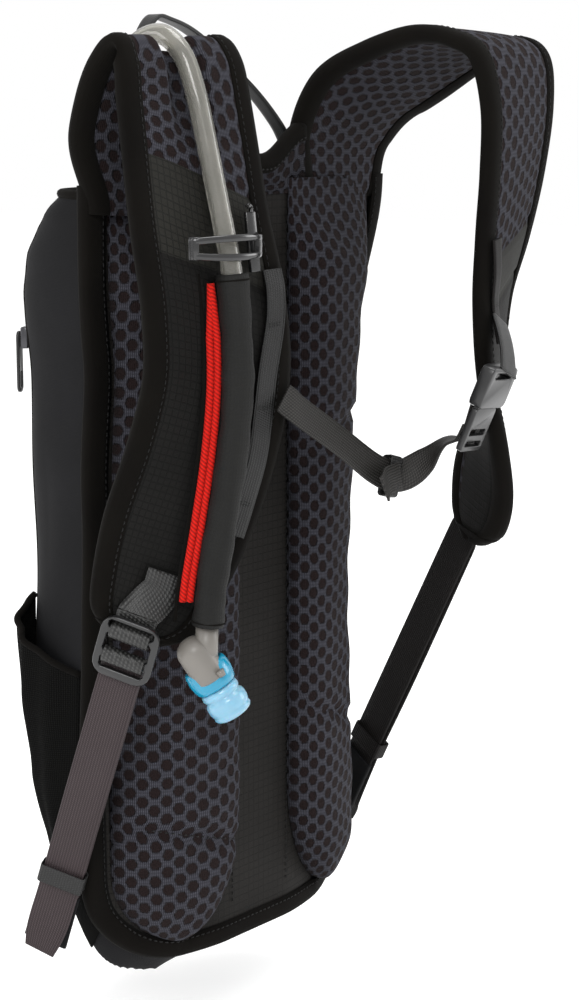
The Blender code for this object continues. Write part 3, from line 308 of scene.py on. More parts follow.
def plastic(name, dark, light, rough=0.42, coat=0.0, **more):
    skin = Skin(name)
    colour = skin.mix(skin.noise(60.0, 3.0), rgb(dark), rgb(light))
    if "Transmission_Weight" in more:
        skin.bump(skin.noise(60.0, 2.0), 0.0004, 0.3)
    else:
        skin.bump(skin.noise(900.0, 2.0), 0.00006, 0.5)
    return skin.done(colour, rough, 0.0, Coat_Weight=coat, **more)


def braid():
    skin = Skin("red_braid")
    first = skin.waves(skin.plus(skin.v, skin.times(skin.u, 0.55)), 0.0018)
    fuzz = skin.noise(2600.0, 2.0)
    thread = skin.math("MULTIPLY_ADD", fuzz, 0.5, skin.times(first, 0.75))
    colour = skin.mix(thread, rgb("#5c0402"), rgb("#c9170a"))
    skin.bump(thread, 0.00025, 0.9)
    return skin.done(colour, 0.75, 0.02, Specular_IOR_Level=0.15)


SKINS = {
    "mesh": mesh_knit("spacer_mesh", 0.007, 0.0088, 0.98),
    "pad_mesh": mesh_knit("pad_spacer_mesh", 0.0062, 0.009, 1.02),
    "shell": woven("shell_cloth", "#0a0a0b", "#19191b", 0.0007, 0.75, 0.0, spec=0.1),
    "ripstop": ripstop("ripstop_cloth", "#0f0f0d", "#272622", 0.0034, 0.8, 0.14),
    "dark_rip": ripstop("ripstop_dark", "#080807", "#191817", 0.0034, 0.7, 0.1),
    "panel_rip": ripstop("panel_ripstop", "#11100f", "#23211f", 0.0038, 0.7, 0.1),
    "knit": tape("pocket_rib_knit", "#040404", "#161615", 0.0014, 0.0011, rough=0.9, shine=-0.1),
    "binding": binding_tape(),
    "lining": woven("lining_cloth", "#2a2b2f", "#404146", 0.0008),
    "web": tape("webbing_black", "#040404", "#232323", 0.0013, 0.0011, rough=0.4, shine=0.2),
    # The far strap's webbing: a darker, duller copy of the near webbing. Its darkness and missing sheen
    # are painted shade.
    "far_web": tape("webbing_far_painted_shade", "#080707", "#1e1b1a", 0.0012, 0.001, rough=0.6),
    "sternum_web": tape("webbing_sternum", "#090908", "#3b3937", 0.0013, 0.0012, rough=0.5, shine=0.1),
    "grey_web": tape("webbing_grey", "#272122", "#4b4244", 0.0013, 0.001, rough=0.6),
    "coarse_web": tape("webbing_coarse", "#040404", "#3c3c3b", 0.0019, 0.0015, rough=0.4, shine=0.25),
    "sleeve": woven("sleeve_cloth", "#0b0b0a", "#191918", 0.0006, 0.65, 0.0, grid=0.0016, grid_gain=0.25),
    "thread": woven("thread", "#020202", "#0b0b0b", 0.0004, 0.6, spec=0.2),
    "red": braid(),
    "buckle": plastic("buckle_plastic_look", "#101011", "#1c1c1d", 0.34, 0.1),
    "clip": plastic("clip_plastic_look", "#0e0e0f", "#1b1b1c", 0.22, 0.3),
    "valve_grey": plastic("valve_grey_look", "#5f5c58", "#75716b", 0.42, 0.05),
    "valve_blue": plastic("valve_blue_look", "#047c9e", "#0d96ba", 0.25, 0.3, Transmission_Weight=0.15),
    "silicone": plastic("mouthpiece_look", "#5fa9c9", "#9acbe2", 0.3, 0.3, Transmission_Weight=0.35,
                        Subsurface_Weight=0.2, Subsurface_Scale=0.01),
    "hose": plastic("hose_look", "#a5a39b", "#c2c0b8", 0.16, 0.3, Transmission_Weight=0.8, IOR=1.35),
    "film": plastic("reservoir_film_look", "#9ec4d6", "#c0dae5", 0.18, 0.3, Transmission_Weight=0.35),
    "metal": plastic("zip_metal_look", "#3a3a3c", "#555558", 0.3, 0.0, Metallic=0.9),
    "zip": tape("zip_teeth", "#0a0a0a", "#232324", 0.0016, 0.0016, rough=0.5),
}


# --- shape helpers ------------------------------------------------------------------------------


def table(pairs, at):
    """Smooth value at a place, from (place, value) pairs in rising order."""
    if at <= pairs[0][0]:
        return pairs[0][1]
    for (low, first), (high, second) in zip(pairs, pairs[1:]):
        if at <= high:
            part = (at - low) / (high - low)
            return first + (second - first) * part * part * (3 - 2 * part)
    return pairs[-1][1]


def clamp(value):
    return min(max(value, 0.0), 1.0)


def signed_power(value, power):
    return math.copysign(abs(value) ** power, value)


def smooth_at(points, place):
    """A place on the smooth curve through the points, counted in points from the first."""
    last = len(points) - 1
    i = max(min(int(place), last - 1), 0)
    t = place - i
    p1, p2 = Vector(points[i]), Vector(points[i + 1])
    p0 = Vector(points[i - 1]) if i > 0 else p1 * 2 - p2
    p3 = Vector(points[i + 2]) if i + 2 <= last else p2 * 2 - p1
    return 0.5 * (2 * p1 + (p2 - p0) * t + (2 * p0 - 5 * p1 + 4 * p2 - p3) * t * t
                  + (3 * p1 - p0 - 3 * p2 + p3) * t ** 3)


def spread(low, high, count):
    return [low + (high - low) * k / (count - 1) for k in range(count)]


def route_of(points, count):
    last = len(points) - 1
    return [smooth_at(points, place) for place in spread(0.0, float(last), count)]


def lengths(points):
    total = [0.0]
    for a, b in zip(points, points[1:]):
        total.append(total[-1] + (b - a).length)
    return total


def object_from(bm, name, skins):
    """Turns a finished bmesh into an object that wears the named skins."""
    bmesh.ops.recalc_face_normals(bm, faces=bm.faces)
    mesh = bpy.data.meshes.new(name)
    bm.to_mesh(mesh)
    bm.free()
    for skin in skins:
        mesh.materials.append(SKINS[skin])
    return add_object(name, mesh)


def thicken(obj, thickness, offset=0.0):
    """Gives a one-sided sheet a wall."""
    wall = obj.modifiers.new("thickness", "SOLIDIFY")
    wall.thickness = thickness
    wall.offset = offset


def skin_mesh(name, rows, skins, around=True, pick=None, closed=False, u_from=None, us_at=None):
    """A surface through rows of points with a UV map in metres: u across each row, v along the rows."""
    bm = bmesh.new()
    layer = bm.loops.layers.uv.new("UVMap")
    grid = [[bm.verts.new(p) for p in row] for row in rows]
    count = len(rows[0])
    middle = [sum(row, Vector()) / count for row in rows]
    v_at = lengths(middle + ([middle[0]] if closed else []))
    widest = [lengths(list(row) + ([row[0]] if around else [])) for row in rows]
    longest = max(widest, key=lambda at: at[-1])
    pairs = list(zip(range(len(rows)), range(1, len(rows))))
    if closed:
        pairs.append((len(rows) - 1, 0))
    for k, (a, b) in enumerate(pairs):
        for i in range(count if around else count - 1):
            j = (i + 1) % count
            face = bm.faces.new((grid[a][i], grid[a][j], grid[b][j], grid[b][i]))
            face.smooth = True
            us = (longest[i], longest[i + 1], longest[i + 1], longest[i])
            if u_from is not None:
                us = tuple(u_from(p) for p in (rows[a][i], rows[a][j], rows[b][j], rows[b][i]))
            if us_at is not None:
                us = (us_at[a][i], us_at[a][j], us_at[b][j], us_at[b][i])
            vs = (v_at[k], v_at[k], v_at[k + 1], v_at[k + 1])
            for loop, u, v in zip(face.loops, us, vs):
                loop[layer].uv = (u, v)
            if pick is not None:
                face.material_index = pick(a, i)
    if around and not closed:
        for row in (grid[0], grid[-1]):
            face = bm.faces.new(row)
            face.smooth = False
            for loop in face.loops:
                loop[layer].uv = (loop.vert.co.x, loop.vert.co.z)
    return object_from(bm, name, skins if isinstance(skins, (list, tuple)) else [skins])


def own(obj, body, nodes=()):
    """Hands a piece to its body and hides the CAD nodes that it stands for."""
    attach(obj, body)
    if nodes:
        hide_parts(*nodes)
    return obj


def band_rows(stations, width, thick, count):
    """Rows of a thin webbing section; stations are (centre, side) or (centre, side, width)."""
    centres = [Vector(s[0]) for s in stations]
    sides = [Vector(s[1]).normalized() for s in stations]
    widths = [Vector((s[2] if len(s) > 2 else width, 0.0, 0.0)) for s in stations]
    last = len(stations) - 1
    rows = []
    for place in spread(0.0, float(last), count):
        before = smooth_at(centres, max(place - 0.03, 0.0))
        after = smooth_at(centres, min(place + 0.03, last))
        along = (after - before).normalized()
        side = smooth_at(sides, place)
        side = (side - along * side.dot(along)).normalized()
        normal = along.cross(side)
        half, up = smooth_at(widths, place).x / 2, thick / 2
        centre = smooth_at(centres, place)
        section = [(s * half, up) for s in (0.96, 0.5, 0.0, -0.5, -0.96)]
        section += [(-half, up * 0.35), (-half, -up * 0.35)]
        section += [(s * half, -up) for s in (-0.96, -0.5, 0.0, 0.5, 0.96)]
        section += [(half, -up * 0.35), (half, up * 0.35)]
        rows.append([centre + side * a + normal * b for a, b in section])
    return rows


def band(name, stations, width, thick, skin, count=60):
    return skin_mesh(name, band_rows(stations, width, thick, count), skin)


def circle(centre, side, over, radius, count):
    turns = [2 * math.pi * i / count for i in range(count)]
    return [centre + (side * math.cos(a) + over * math.sin(a)) * radius for a in turns]


def pipe_rows(points, radius, sides=16, side=Vector((1.0, 0.0, 0.0))):
    rows = []
    count = len(points)
    for k, point in enumerate(points):
        along = (points[min(k + 1, count - 1)] - points[max(k - 1, 0)]).normalized()
        side = (side - along * side.dot(along)).normalized()
        over = along.cross(side)
        size = radius if isinstance(radius, float) else radius[k]
        rows.append(circle(point, side, over, size, sides))
    return rows


def pipe(name, points, radius, skin, sides=16):
    return skin_mesh(name, pipe_rows(points, radius, sides), skin)


def lathe(name, start, aim, profile, skin, sides=40):
    """A round part from its profile of (distance along the axis, radius) pairs."""
    along = Vector(aim).normalized()
    side = along.orthogonal().normalized()
    over = along.cross(side)
    rows = []
    for distance, radius in profile:
        centre = Vector(start) + along * distance
        rows.append(circle(centre, side, over, radius, sides))
    return skin_mesh(name, rows, skin)


def stitches(name, points, normals, pitch=0.003, share=0.62, radius=0.0003):
    """A run of short raised stitches along a line of points with their surface normals."""
    at = lengths(points)
    bm = bmesh.new()
    layer = bm.loops.layers.uv.new("UVMap")
    place, k = 0.0, 0

    def spot(distance):
        nonlocal k
        while k < len(at) - 2 and at[k + 1] < distance:
            k += 1
        part = (distance - at[k]) / max(at[k + 1] - at[k], 1e-9)
        return points[k].lerp(points[k + 1], part), normals[k]

    while place + pitch < at[-1]:
        (a, n), (b, _) = spot(place), spot(place + pitch * share)
        along = (b - a).normalized()
        side = along.cross(n).normalized()
        ring = []
        for t, size in ((0.0, 0.3), (0.2, 1.0), (0.8, 1.0), (1.0, 0.3)):
            centre = a.lerp(b, t) + n * (radius * (0.4 + 0.5 * size))
            ring.append([bm.verts.new(centre + (side * c + n * s) * radius * size)
                         for c, s in ((1, 0), (0, 1), (-1, 0), (0, -1))])
        for low, high in zip(ring, ring[1:]):
            for i in range(4):
                j = (i + 1) % 4
                face = bm.faces.new((low[i], low[j], high[j], high[i]))
                face.smooth = True
        bm.faces.new(ring[0])
        bm.faces.new(ring[-1])
        place += pitch
    for face in bm.faces:
        for loop in face.loops:
            loop[layer].uv = (loop.vert.co.x, loop.vert.co.z)
    return object_from(bm, name, ["thread"])


# --- back panel, pods and binding ---------------------------------------------------------------


def half_width(z):
    width = table(PANEL_WIDTHS, z)
    over = PANEL_BOTTOM + CORNER_RADIUS - z
    if over > 0:
        width -= CORNER_RADIUS - math.sqrt(max(CORNER_RADIUS ** 2 - over ** 2, 0.0))
    return width


def panel_front(x, z):
    edge = table(PANEL_WIDTHS, z)
    part = max(abs(x) - CHANNEL_HALF, 0.0) / (edge - CHANNEL_HALF)
    return table(PANEL_EDGES, z) * min(part, 1.0) ** 1.6


def panel_heights(count):
    low = [PANEL_BOTTOM + CORNER_RADIUS * (1 - math.cos(a)) for a in spread(0.0, math.pi / 2, 16)]
    return low + spread(low[-1], PANEL_TOP, count)[1:]


def make_panel():
    rows = []
    for z in panel_heights(50):
        half = half_width(z)
        xs = spread(-half, half, 46)
        front = [Vector((x, panel_front(x, z), z)) for x in xs]
        back = [p + Vector((0.0, 0.004, 0.0)) for p in reversed(front)]
        rows.append(front + back)
    obj = skin_mesh("panel_cloth", rows, "panel_rip", u_from=lambda p: p.x + 0.2)
    own(obj, "pack", ["back_panel"])
    for x in (-0.0175, 0.0245):
        line = [Vector((x, panel_front(x, z) - 0.0002, z)) for z in spread(-0.205, 0.145, 80)]
        seam = stitches(f"channel_seam_{x:.3f}", line, [Vector((0, -1, 0))] * len(line), pitch=0.0034)
        own(seam, "pack")


def edge_line(count=120, reach=0.0045):
    """The panel's outline from the right top corner, round the bottom, to the left top corner."""
    half = [(half_width(z) + reach, z) for z in spread(0.156, PANEL_BOTTOM + CORNER_RADIUS, count)]
    centre_x = half_width(PANEL_BOTTOM + CORNER_RADIUS) - CORNER_RADIUS
    centre_z = PANEL_BOTTOM + CORNER_RADIUS
    for a in spread(0.0, math.pi / 2, 24)[1:]:
        out = CORNER_RADIUS + reach
        half.append((centre_x + out * math.cos(a), centre_z - out * math.sin(a)))
    half += [(x, PANEL_BOTTOM - reach) for x in spread(centre_x, 0.0, 14)[1:]]
    line = []
    for x, z in half:
        y = panel_front(min(x, table(PANEL_WIDTHS, z)), z) + 0.002
        top = max((z - 0.1) / 0.056, 0.0)
        line.append(Vector((-x - 0.0006 * top * top, y - 0.001 * top * top, z)))
    return line + [Vector((-p.x, p.y, p.z)) for p in reversed(line[:-1])]


def make_panel_binding():
    """A folded tape over the panel's raw edge: flat on the wearer's side, rounded outside."""
    line = edge_line()
    rows = []
    count = len(line)
    section = ((-0.0072, -0.0026), (-0.004, -0.0037), (0.0, -0.0043), (0.0028, -0.0034),
               (0.0042, -0.0012),
               (0.0043, 0.0012), (0.0028, 0.0034), (0.0, 0.0042), (-0.0044, 0.004), (-0.0046, 0.0026),
               (-0.0046, -0.001))
    inner = []
    for k, point in enumerate(line):
        along = (line[min(k + 1, count - 1)] - line[max(k - 1, 0)]).normalized()
        out = Vector((along.z, 0.0, -along.x))
        middle = Vector((0.0, 0.0, -0.03))
        if out.dot(point - middle) < 0:
            out = -out
        back = Vector((0.0, 1.0, 0.0))
        slope = 0.3 if abs(point.x) > 0.05 else 0.0
        rows.append([point + out * a + back * (b + slope * min(a, 0.0)) for a, b in section])
        inner.append(point + out * -0.0052 + back * (-0.0035 + slope * -0.0052))
    obj = skin_mesh("panel_edge_binding", rows, "binding")
    own(obj, "pack", ["panel_binding"])
    sewn = stitches("binding_stitches", inner, [Vector((0.0, -1.0, 0.0))] * count, pitch=0.0032)
    own(sewn, "pack")


def make_yoke():
    """The short piece between the strap roots, its top edge dipping in the middle."""
    rims = ((-0.04, 0.1765), (-0.008, 0.168), (0.01, 0.168), (0.0385, 0.183))
    tops = [(x, table(rims, x)) for x in spread(-0.04, 0.0385, 30)]
    rows = []
    for x, top in tops:
        rows.append([Vector((x, y, z)) for y, z in (
            (0.0052, 0.1485), (0.0052, top - 0.003), (0.0035, top), (0.0005, top),
            (-0.002, top - 0.0022), (-0.0024, top - 0.0085), (-0.001, top - 0.0095),
            (-0.001, 0.1485))])
    pick = [1, 0, 0, 0, 0, 0, 1, 1]
    obj = skin_mesh("yoke_cloth", rows, ["binding", "mesh"], pick=lambda a, i: pick[i])
    own(obj, "pack", ["top_yoke"])
    line = [Vector((x, -0.0025, top - 0.0075)) for x, top in tops]
    own(stitches("yoke_stitches", line, [Vector((0, -1, 0))] * len(line)), "pack")
    seam = [Vector((x, -0.0016, 0.152)) for x in spread(-0.04, 0.0385, 30)]
    own(pipe("yoke_seam", seam, 0.0011, "binding", 8), "pack")


def make_pod(name, hand, inner, node):
    """A crowned foam pad with rounded ends, its edge pulled down by the seam, and quilted lines."""
    low_z, high_z = -0.214, 0.156
    rows = []
    heights = [low_z + (high_z - low_z) * (1 - math.cos(math.pi / 2 * t))
               for t in spread(0.0, 1.0, 96)]
    quilts = (((-0.158, 0.1), (0.035, -0.1)) if hand < 0
              else ((-0.12, -0.12), (0.03, 0.1)))
    us_at = []
    for z in heights:
        t = max((-0.15 - z) / 0.066, 0.0)
        inside = inner + (0.066 - inner) * (1 - math.sqrt(max(1 - t * t, 0.0)))
        outside = max(half_width(z) - 0.0052, inside + 0.004)
        end = min((z - low_z) / 0.03, 1.0)
        swell = 0.18 + 0.82 * math.sqrt(max(1 - (1 - end) ** 2, 0.0))
        swell *= table(((0.105, 1.0), (0.153, 0.12)), z)
        row, row_us = [], []
        for s in spread(-1.0, 1.0, 40):
            x = (inside + outside) / 2 + (outside - inside) / 2 * s
            edge = (1 - abs(s) ** 3.2) ** 0.62
            rise = POD_CROWN * swell * edge
            for at, slope in quilts:
                gap = z - at - slope * (x - 0.055) * 3.0
                rise -= 0.0042 * math.exp(-(gap / 0.004) ** 2) * edge * swell
            rise += 0.0006 * math.sin(z * 190 + x * 90) * edge
            row.append(Vector((hand * x, panel_front(x, z) - 0.0006 - rise, z)))
            row_us.append(x + math.copysign(POD_CROWN * (1 - edge) * 0.8, s))
        rows.append(row)
        us_at.append(row_us)
    obj = skin_mesh(name, rows, "pad_mesh", around=False, us_at=us_at)
    thicken(obj, 0.0006, -1.0)
    own(obj, "pack", [node])
    for n, (at, slope) in enumerate(quilts):
        line = []
        for x in spread(inner + 0.01, 0.076, 40):
            z = at + slope * (x - 0.055) * 3.0
            row_at = min(range(len(heights)), key=lambda k: abs(heights[k] - z))
            near = min(rows[row_at], key=lambda p: abs(abs(p.x) - x))
            line.append(Vector((hand * x, near.y - 0.0002, z)))
        sewn = stitches(f"{name}_quilt_{n}", line, [Vector((0, -1, 0))] * len(line), pitch=0.0036)
        own(sewn, "pack")


# --- bag ----------------------------------------------------------------------------------------

BAG_TOP = 0.1515
# The bag's depth at each height, as a share of its greatest, by its sides and down its middle.
SIDE_DEPTHS = ((-0.2165, 0.05), (-0.213, 0.16), (-0.2, 0.34), (-0.165, 0.54), (-0.13, 0.78),
               (-0.09, 0.96), (-0.06, 1.0), (0.085, 1.0), (0.1, 0.97), (0.12, 0.88),
               (0.14, 0.68), (BAG_TOP, 0.47))
MIDDLE_DEPTHS = ((-0.2165, 0.05), (-0.213, 0.25), (-0.206, 0.5), (-0.195, 0.72), (-0.175, 0.9),
                 (-0.145, 0.98), (-0.11, 1.0), (0.095, 1.0), (0.115, 0.96), (0.132, 0.82), (0.145, 0.62),
                 (BAG_TOP, 0.46))


def shell_back(z):
    return panel_front(half_width(z), z) + 0.0052


def shell_point(turn, z, grow=0.0):
    """A place on the bag's cloth, turn running from the right edge at 0 to the left one at pi."""
    half = half_width(z) + grow
    c, s = math.cos(turn), math.sin(turn)
    aside = abs(c) ** 1.5
    share = aside * table(SIDE_DEPTHS, z) + (1 - aside) * table(MIDDLE_DEPTHS, z)
    depth = (BAG_DEPTH + 0.021 - shell_back(z)) * share + grow
    x = -half * signed_power(c, 0.5)
    out = depth * abs(s) ** 0.62
    sag = BOTTOM_SAG * table(((PANEL_BOTTOM, 1.0), (-0.17, 0.0)), z) * min(out / 0.014, 1.0)
    return Vector((x, shell_back(z) + out, z - sag))


def shell_soft(turn, z, grow=0.0):
    """The shell with soft hollows between the places where it is held."""
    point = shell_point(turn, z, grow)
    wave = math.sin(z * 31 + 1.3) * math.sin(turn * 3.0) + 0.6 * math.sin(z * 67 + turn * 5.0)
    fade = clamp((z + 0.19) / 0.05) * clamp((0.14 - z) / 0.05)
    inward = Vector((-point.x, 0.06 - point.y, 0.0)).normalized()
    return point + inward * (0.0009 * (1 + wave) * fade * min(math.sin(turn) * 3, 1.0))


def make_shell():
    """The bag's cloth, cut in two along the flap's outline, with its zip, piping and top hem."""
    heights = (spread(-0.2163, -0.2, 14) + spread(-0.2, 0.12, 90)[1:]
               + spread(0.12, BAG_TOP, 16)[1:])
    turns = spread(0.004, math.pi - 0.004, 120)
    rows = [[shell_soft(t, z) for t in turns] for z in heights]
    shell = skin_mesh("bag_cloth", rows, "shell", around=False)
    thicken(shell, 0.0012)
    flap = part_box("front_flap")
    low, high = flap[0].z, flap[1].z
    half = flap[1].x
    outline = rounded(-half, half, low, high, 0.018, 8)
    near = [Vector((x, 0.05, z)) for x, z in outline]
    far = [Vector((x, 0.13, z)) for x, z in outline]
    knife = skin_mesh("flap_knife", [near, far], "shell")
    cover = shell.copy()
    cover.data = shell.data.copy()
    cover.name = "flap_cloth"
    bpy.context.scene.collection.objects.link(cover)
    for obj, operation in ((shell, "DIFFERENCE"), (cover, "INTERSECT")):
        cut = obj.modifiers.new("cut", "BOOLEAN")
        cut.operation = operation
        cut.object = knife
        cut.solver = "EXACT"
    graph = bpy.context.evaluated_depsgraph_get()
    for obj in (shell, cover):
        made = bpy.data.meshes.new_from_object(obj.evaluated_get(graph))
        obj.modifiers.clear()
        obj.data = made
        for face in made.polygons:
            face.use_smooth = True
    bpy.data.objects.remove(knife, do_unlink=True)
    own(shell, "pack", ["bag_shell"])
    own(cover, "front_flap", ["front_flap"])
    run = [shell_point(turn_at(x, z), z, 0.0006) for x, z in outline]
    run = sorted((p for p in run if p.z > low + 0.004), key=lambda p: math.atan2(p.x, p.z - low))
    path = []
    for a, b in zip(run, run[1:]):
        path += [a.lerp(b, t) for t in spread(0.0, 1.0, 8)[:-1]]
    path = [snap(p, 0.0003) for p in path + run[-1:]]
    own(pipe("zip_left", path, 0.0017, "zip", 8), "pack")
    for side in (-1, 1):
        turn = math.pi * (0.245 if side < 0 else 0.755)
        line = [shell_soft(turn, z, 0.0001) for z in spread(-0.19, 0.15, 110)]
        own(pipe(f"shell_piping_{side}", line, 0.0011, "binding", 8), "pack")
    ring = [shell_point(t, 0.1513, 0.0) for t in spread(0.01, math.pi - 0.01, 90)]
    own(pipe("top_opening_hem", ring, 0.0022, "binding", 10), "pack")


def turn_at(x, z):
    """The turn at which the bag's cloth is at x, found by halving."""
    low, high = 0.0, math.pi
    for _ in range(40):
        mid = (low + high) / 2
        low, high = (mid, high) if shell_point(mid, z).x < x else (low, mid)
    return (low + high) / 2


def snap(p, lift):
    """The nearest place on the bag's cloth, straight back or forward, lifted off it."""
    return shell_point(turn_at(p.x, p.z), p.z, lift)


def rounded(x_low, x_high, y_low, y_high, radius, steps=4):
    """A rectangle's outline with rounded corners."""
    left, right, bottom, top = x_low + radius, x_high - radius, y_low + radius, y_high - radius
    points = []
    for cx, cy, turn in ((right, top, 0.0), (left, top, 0.5), (left, bottom, 1.0), (right, bottom, 1.5)):
        for k in range(steps + 1):
            angle = math.pi * (turn + 0.5 * k / steps)
            points.append((cx + radius * math.cos(angle), cy + radius * math.sin(angle)))
    return points


def make_pockets():
    """The side pockets' knit, drawn tight round the bag, and their bound hems."""
    for name, left in (("right", False), ("left", True)):
        rows = []
        turns = [math.pi * (0.006 + 0.27 * k / 40) for k in range(41)]
        for z in spread(-0.2, -0.048, 50):
            row = []
            for turn in turns:
                across = math.sin(math.pi * clamp((turn / math.pi - 0.006) / 0.27))
                up = table(((-0.2, 0.0), (-0.145, 0.6), (-0.048, 1.0)), z)
                share = (z + 0.2) / 0.152
                place = z - 0.03 * share * (1.0 - turn / math.pi / 0.276)
                pull = 0.001 * math.sin(turn * 26 + z * 40) * up
                point = shell_point(turn, place, 0.0016 + 0.0082 * across * up + pull * across)
                row.append(Vector((-point.x if left else point.x, point.y, point.z)))
            rows.append(row)
        obj = skin_mesh(f"{name}_pocket_cloth", rows, "knit", around=False)
        thicken(obj, 0.001)
        own(obj, "pack", [f"{name}_side_pocket"])
        hem = pipe(f"{name}_pocket_hem", rows[-1], 0.0017, "binding", 10)
        own(hem, "pack")


# --- shoulder straps ----------------------------------------------------------------------------


class Ribbon:
    """A strap through stations of (centre, side direction, width)."""

    def __init__(self, stations, thick, trough=None):
        self.centres = [Vector(s[0]) for s in stations]
        self.sides = [Vector(s[1]).normalized() for s in stations]
        self.widths = [Vector((s[2], 0.0, 0.0)) for s in stations]
        self.thick = thick
        self.trough = trough
        self.last = len(stations) - 1

    def dip(self, place):
        if self.trough is None:
            return 0.0
        rise, full, hold, end = self.trough
        return table(((rise, 0.0), (full, 1.0), (hold, 1.0), (end, 0.0)), place)

    def frame(self, place):
        before = smooth_at(self.centres, place - 0.02)
        after = smooth_at(self.centres, min(place + 0.02, self.last))
        along = (after - before).normalized()
        side = smooth_at(self.sides, place)
        side = (side - along * side.dot(along)).normalized()
        return smooth_at(self.centres, place), side, along.cross(side), smooth_at(self.widths, place).x

    def on_face(self, place, across, lift):
        centre, side, normal, _ = self.frame(place)
        return centre + side * across + normal * (self.thick / 2 + lift)


RIGHT_STRAP = Ribbon((
    ((-0.078, -0.0005, 0.1535), (1.0, -0.2, 0.0), 0.074),
    ((-0.078, 0.0003, 0.174), (1.0, -0.2, 0.0), 0.074),
    ((-0.0778, -0.003, 0.193), (1.0, -0.18, 0.0), 0.072),
    ((-0.0772, -0.0085, 0.208), (1.0, -0.13, 0.0), 0.071),
    ((-0.0766, -0.017, 0.2165), (1.0, -0.12, 0.0), 0.071),
    ((-0.076, -0.0235, 0.2085), (1.0, -0.15, 0.0), 0.071),
    ((-0.076, -0.0265, 0.193), (1.0, -0.18, 0.0), 0.072),
    ((-0.076, -0.0305, 0.17), (1.0, -0.2, 0.0), 0.073),
    ((-0.0765, -0.036, 0.14), (1.0, -0.2, 0.0), 0.075),
    ((-0.073, -0.0405, 0.105), (1.0, -0.22, 0.0), 0.077),
    ((-0.071, -0.0405, 0.07), (1.0, -0.26, -0.04), 0.078),
    ((-0.076, -0.035, 0.035), (1.0, -0.36, -0.16), 0.076),
    ((-0.085, -0.0265, 0.0), (1.0, -0.46, -0.3), 0.072),
    ((-0.093, -0.0205, -0.026), (1.0, -0.56, -0.42), 0.062),
    ((-0.0985, -0.0175, -0.04), (1.0, -0.62, -0.45), 0.052),
    ((-0.102, -0.016, -0.05), (1.0, -0.66, -0.45), 0.03),
), 0.009, trough=(2.0, 3.0, 5.6, 7.4))
LEFT_STRAP = Ribbon((
    ((0.074, 0.0055, 0.1535), (1.0, 0.06, -0.05), 0.078),
    ((0.0745, 0.005, 0.174), (1.0, 0.05, -0.15), 0.08),
    ((0.075, -0.01, 0.195), (1.0, 0.05, -0.33), 0.078),
    ((0.0755, -0.036, 0.209), (1.0, 0.0, -0.3), 0.074),
    ((0.0765, -0.06, 0.2185), (1.0, 0.0, -0.18), 0.072),
    ((0.078, -0.08, 0.2205), (1.0, 0.0, -0.04), 0.07),
    ((0.08, -0.0935, 0.213), (1.0, 0.06, -0.02), 0.07),
    ((0.081, -0.0975, 0.19), (1.0, 0.14, 0.0), 0.07),
    ((0.081, -0.0955, 0.16), (1.0, 0.2, 0.0), 0.069),
    ((0.08, -0.0915, 0.13), (1.0, 0.28, 0.0), 0.068),
    ((0.079, -0.087, 0.1), (1.0, 0.42, 0.0), 0.067),
    ((0.0815, -0.084, 0.065), (0.87, 0.5, 0.0), 0.064),
    ((0.085, -0.0805, 0.032), (0.66, 0.75, 0.0), 0.06),
    ((0.0885, -0.076, 0.005), (0.46, 0.89, 0.0), 0.056),
    ((0.091, -0.0715, -0.014), (0.4, 0.91, 0.2), 0.046),
    ((0.0925, -0.0695, -0.026), (0.38, 0.91, 0.25), 0.026),
), 0.009)
# Places along each strap, in stations: where its root starts, where the mesh gives way to ripstop
# and that to darker ripstop, and how far across the seam leans.
ROOT = {"right": -0.55, "left": -0.35}
SEAM = {"right": 7.33, "left": 9.05}
LOWER_SEAM = {"right": 8.62, "left": 9.9}
LEAN = {"right": ((4.6, 0.0), (7.2, 0.52), (8.8, 0.5), (11.5, 0.0)),
        "left": ((7.0, 0.0), (8.8, -0.4), (9.6, -0.35), (11.5, 0.0))}


def strap_height(strap, place, across, half):
    """How far the strap's face and back lie from its middle plane."""
    s = min(abs(across) / half, 1.0)
    crown = 0.0026 + 0.0024 * (1 - s ** 2.4)
    shape = math.exp(-((half - abs(across) - 0.0082) / 0.0016) ** 2) * 0.0006
    sink = 1.0 - clamp((abs(across) - 0.0055) / 0.007)
    sink = sink * sink * (3 - 2 * sink) * strap.dip(place)
    return crown - shape - 0.0068 * sink, -crown + shape - 0.0018 * sink


def pinch(hand, place, sign):
    """How far the root's outer edge draws in to meet the panel's binding."""
    if (hand == "right") != (sign < 0):
        return 0.0
    share = clamp((1.3 - place) / 1.9)
    return 0.008 * share * share * (3 - 2 * share)


STRAP_POINTS = 42  # across the strap's face, and as many again across its back


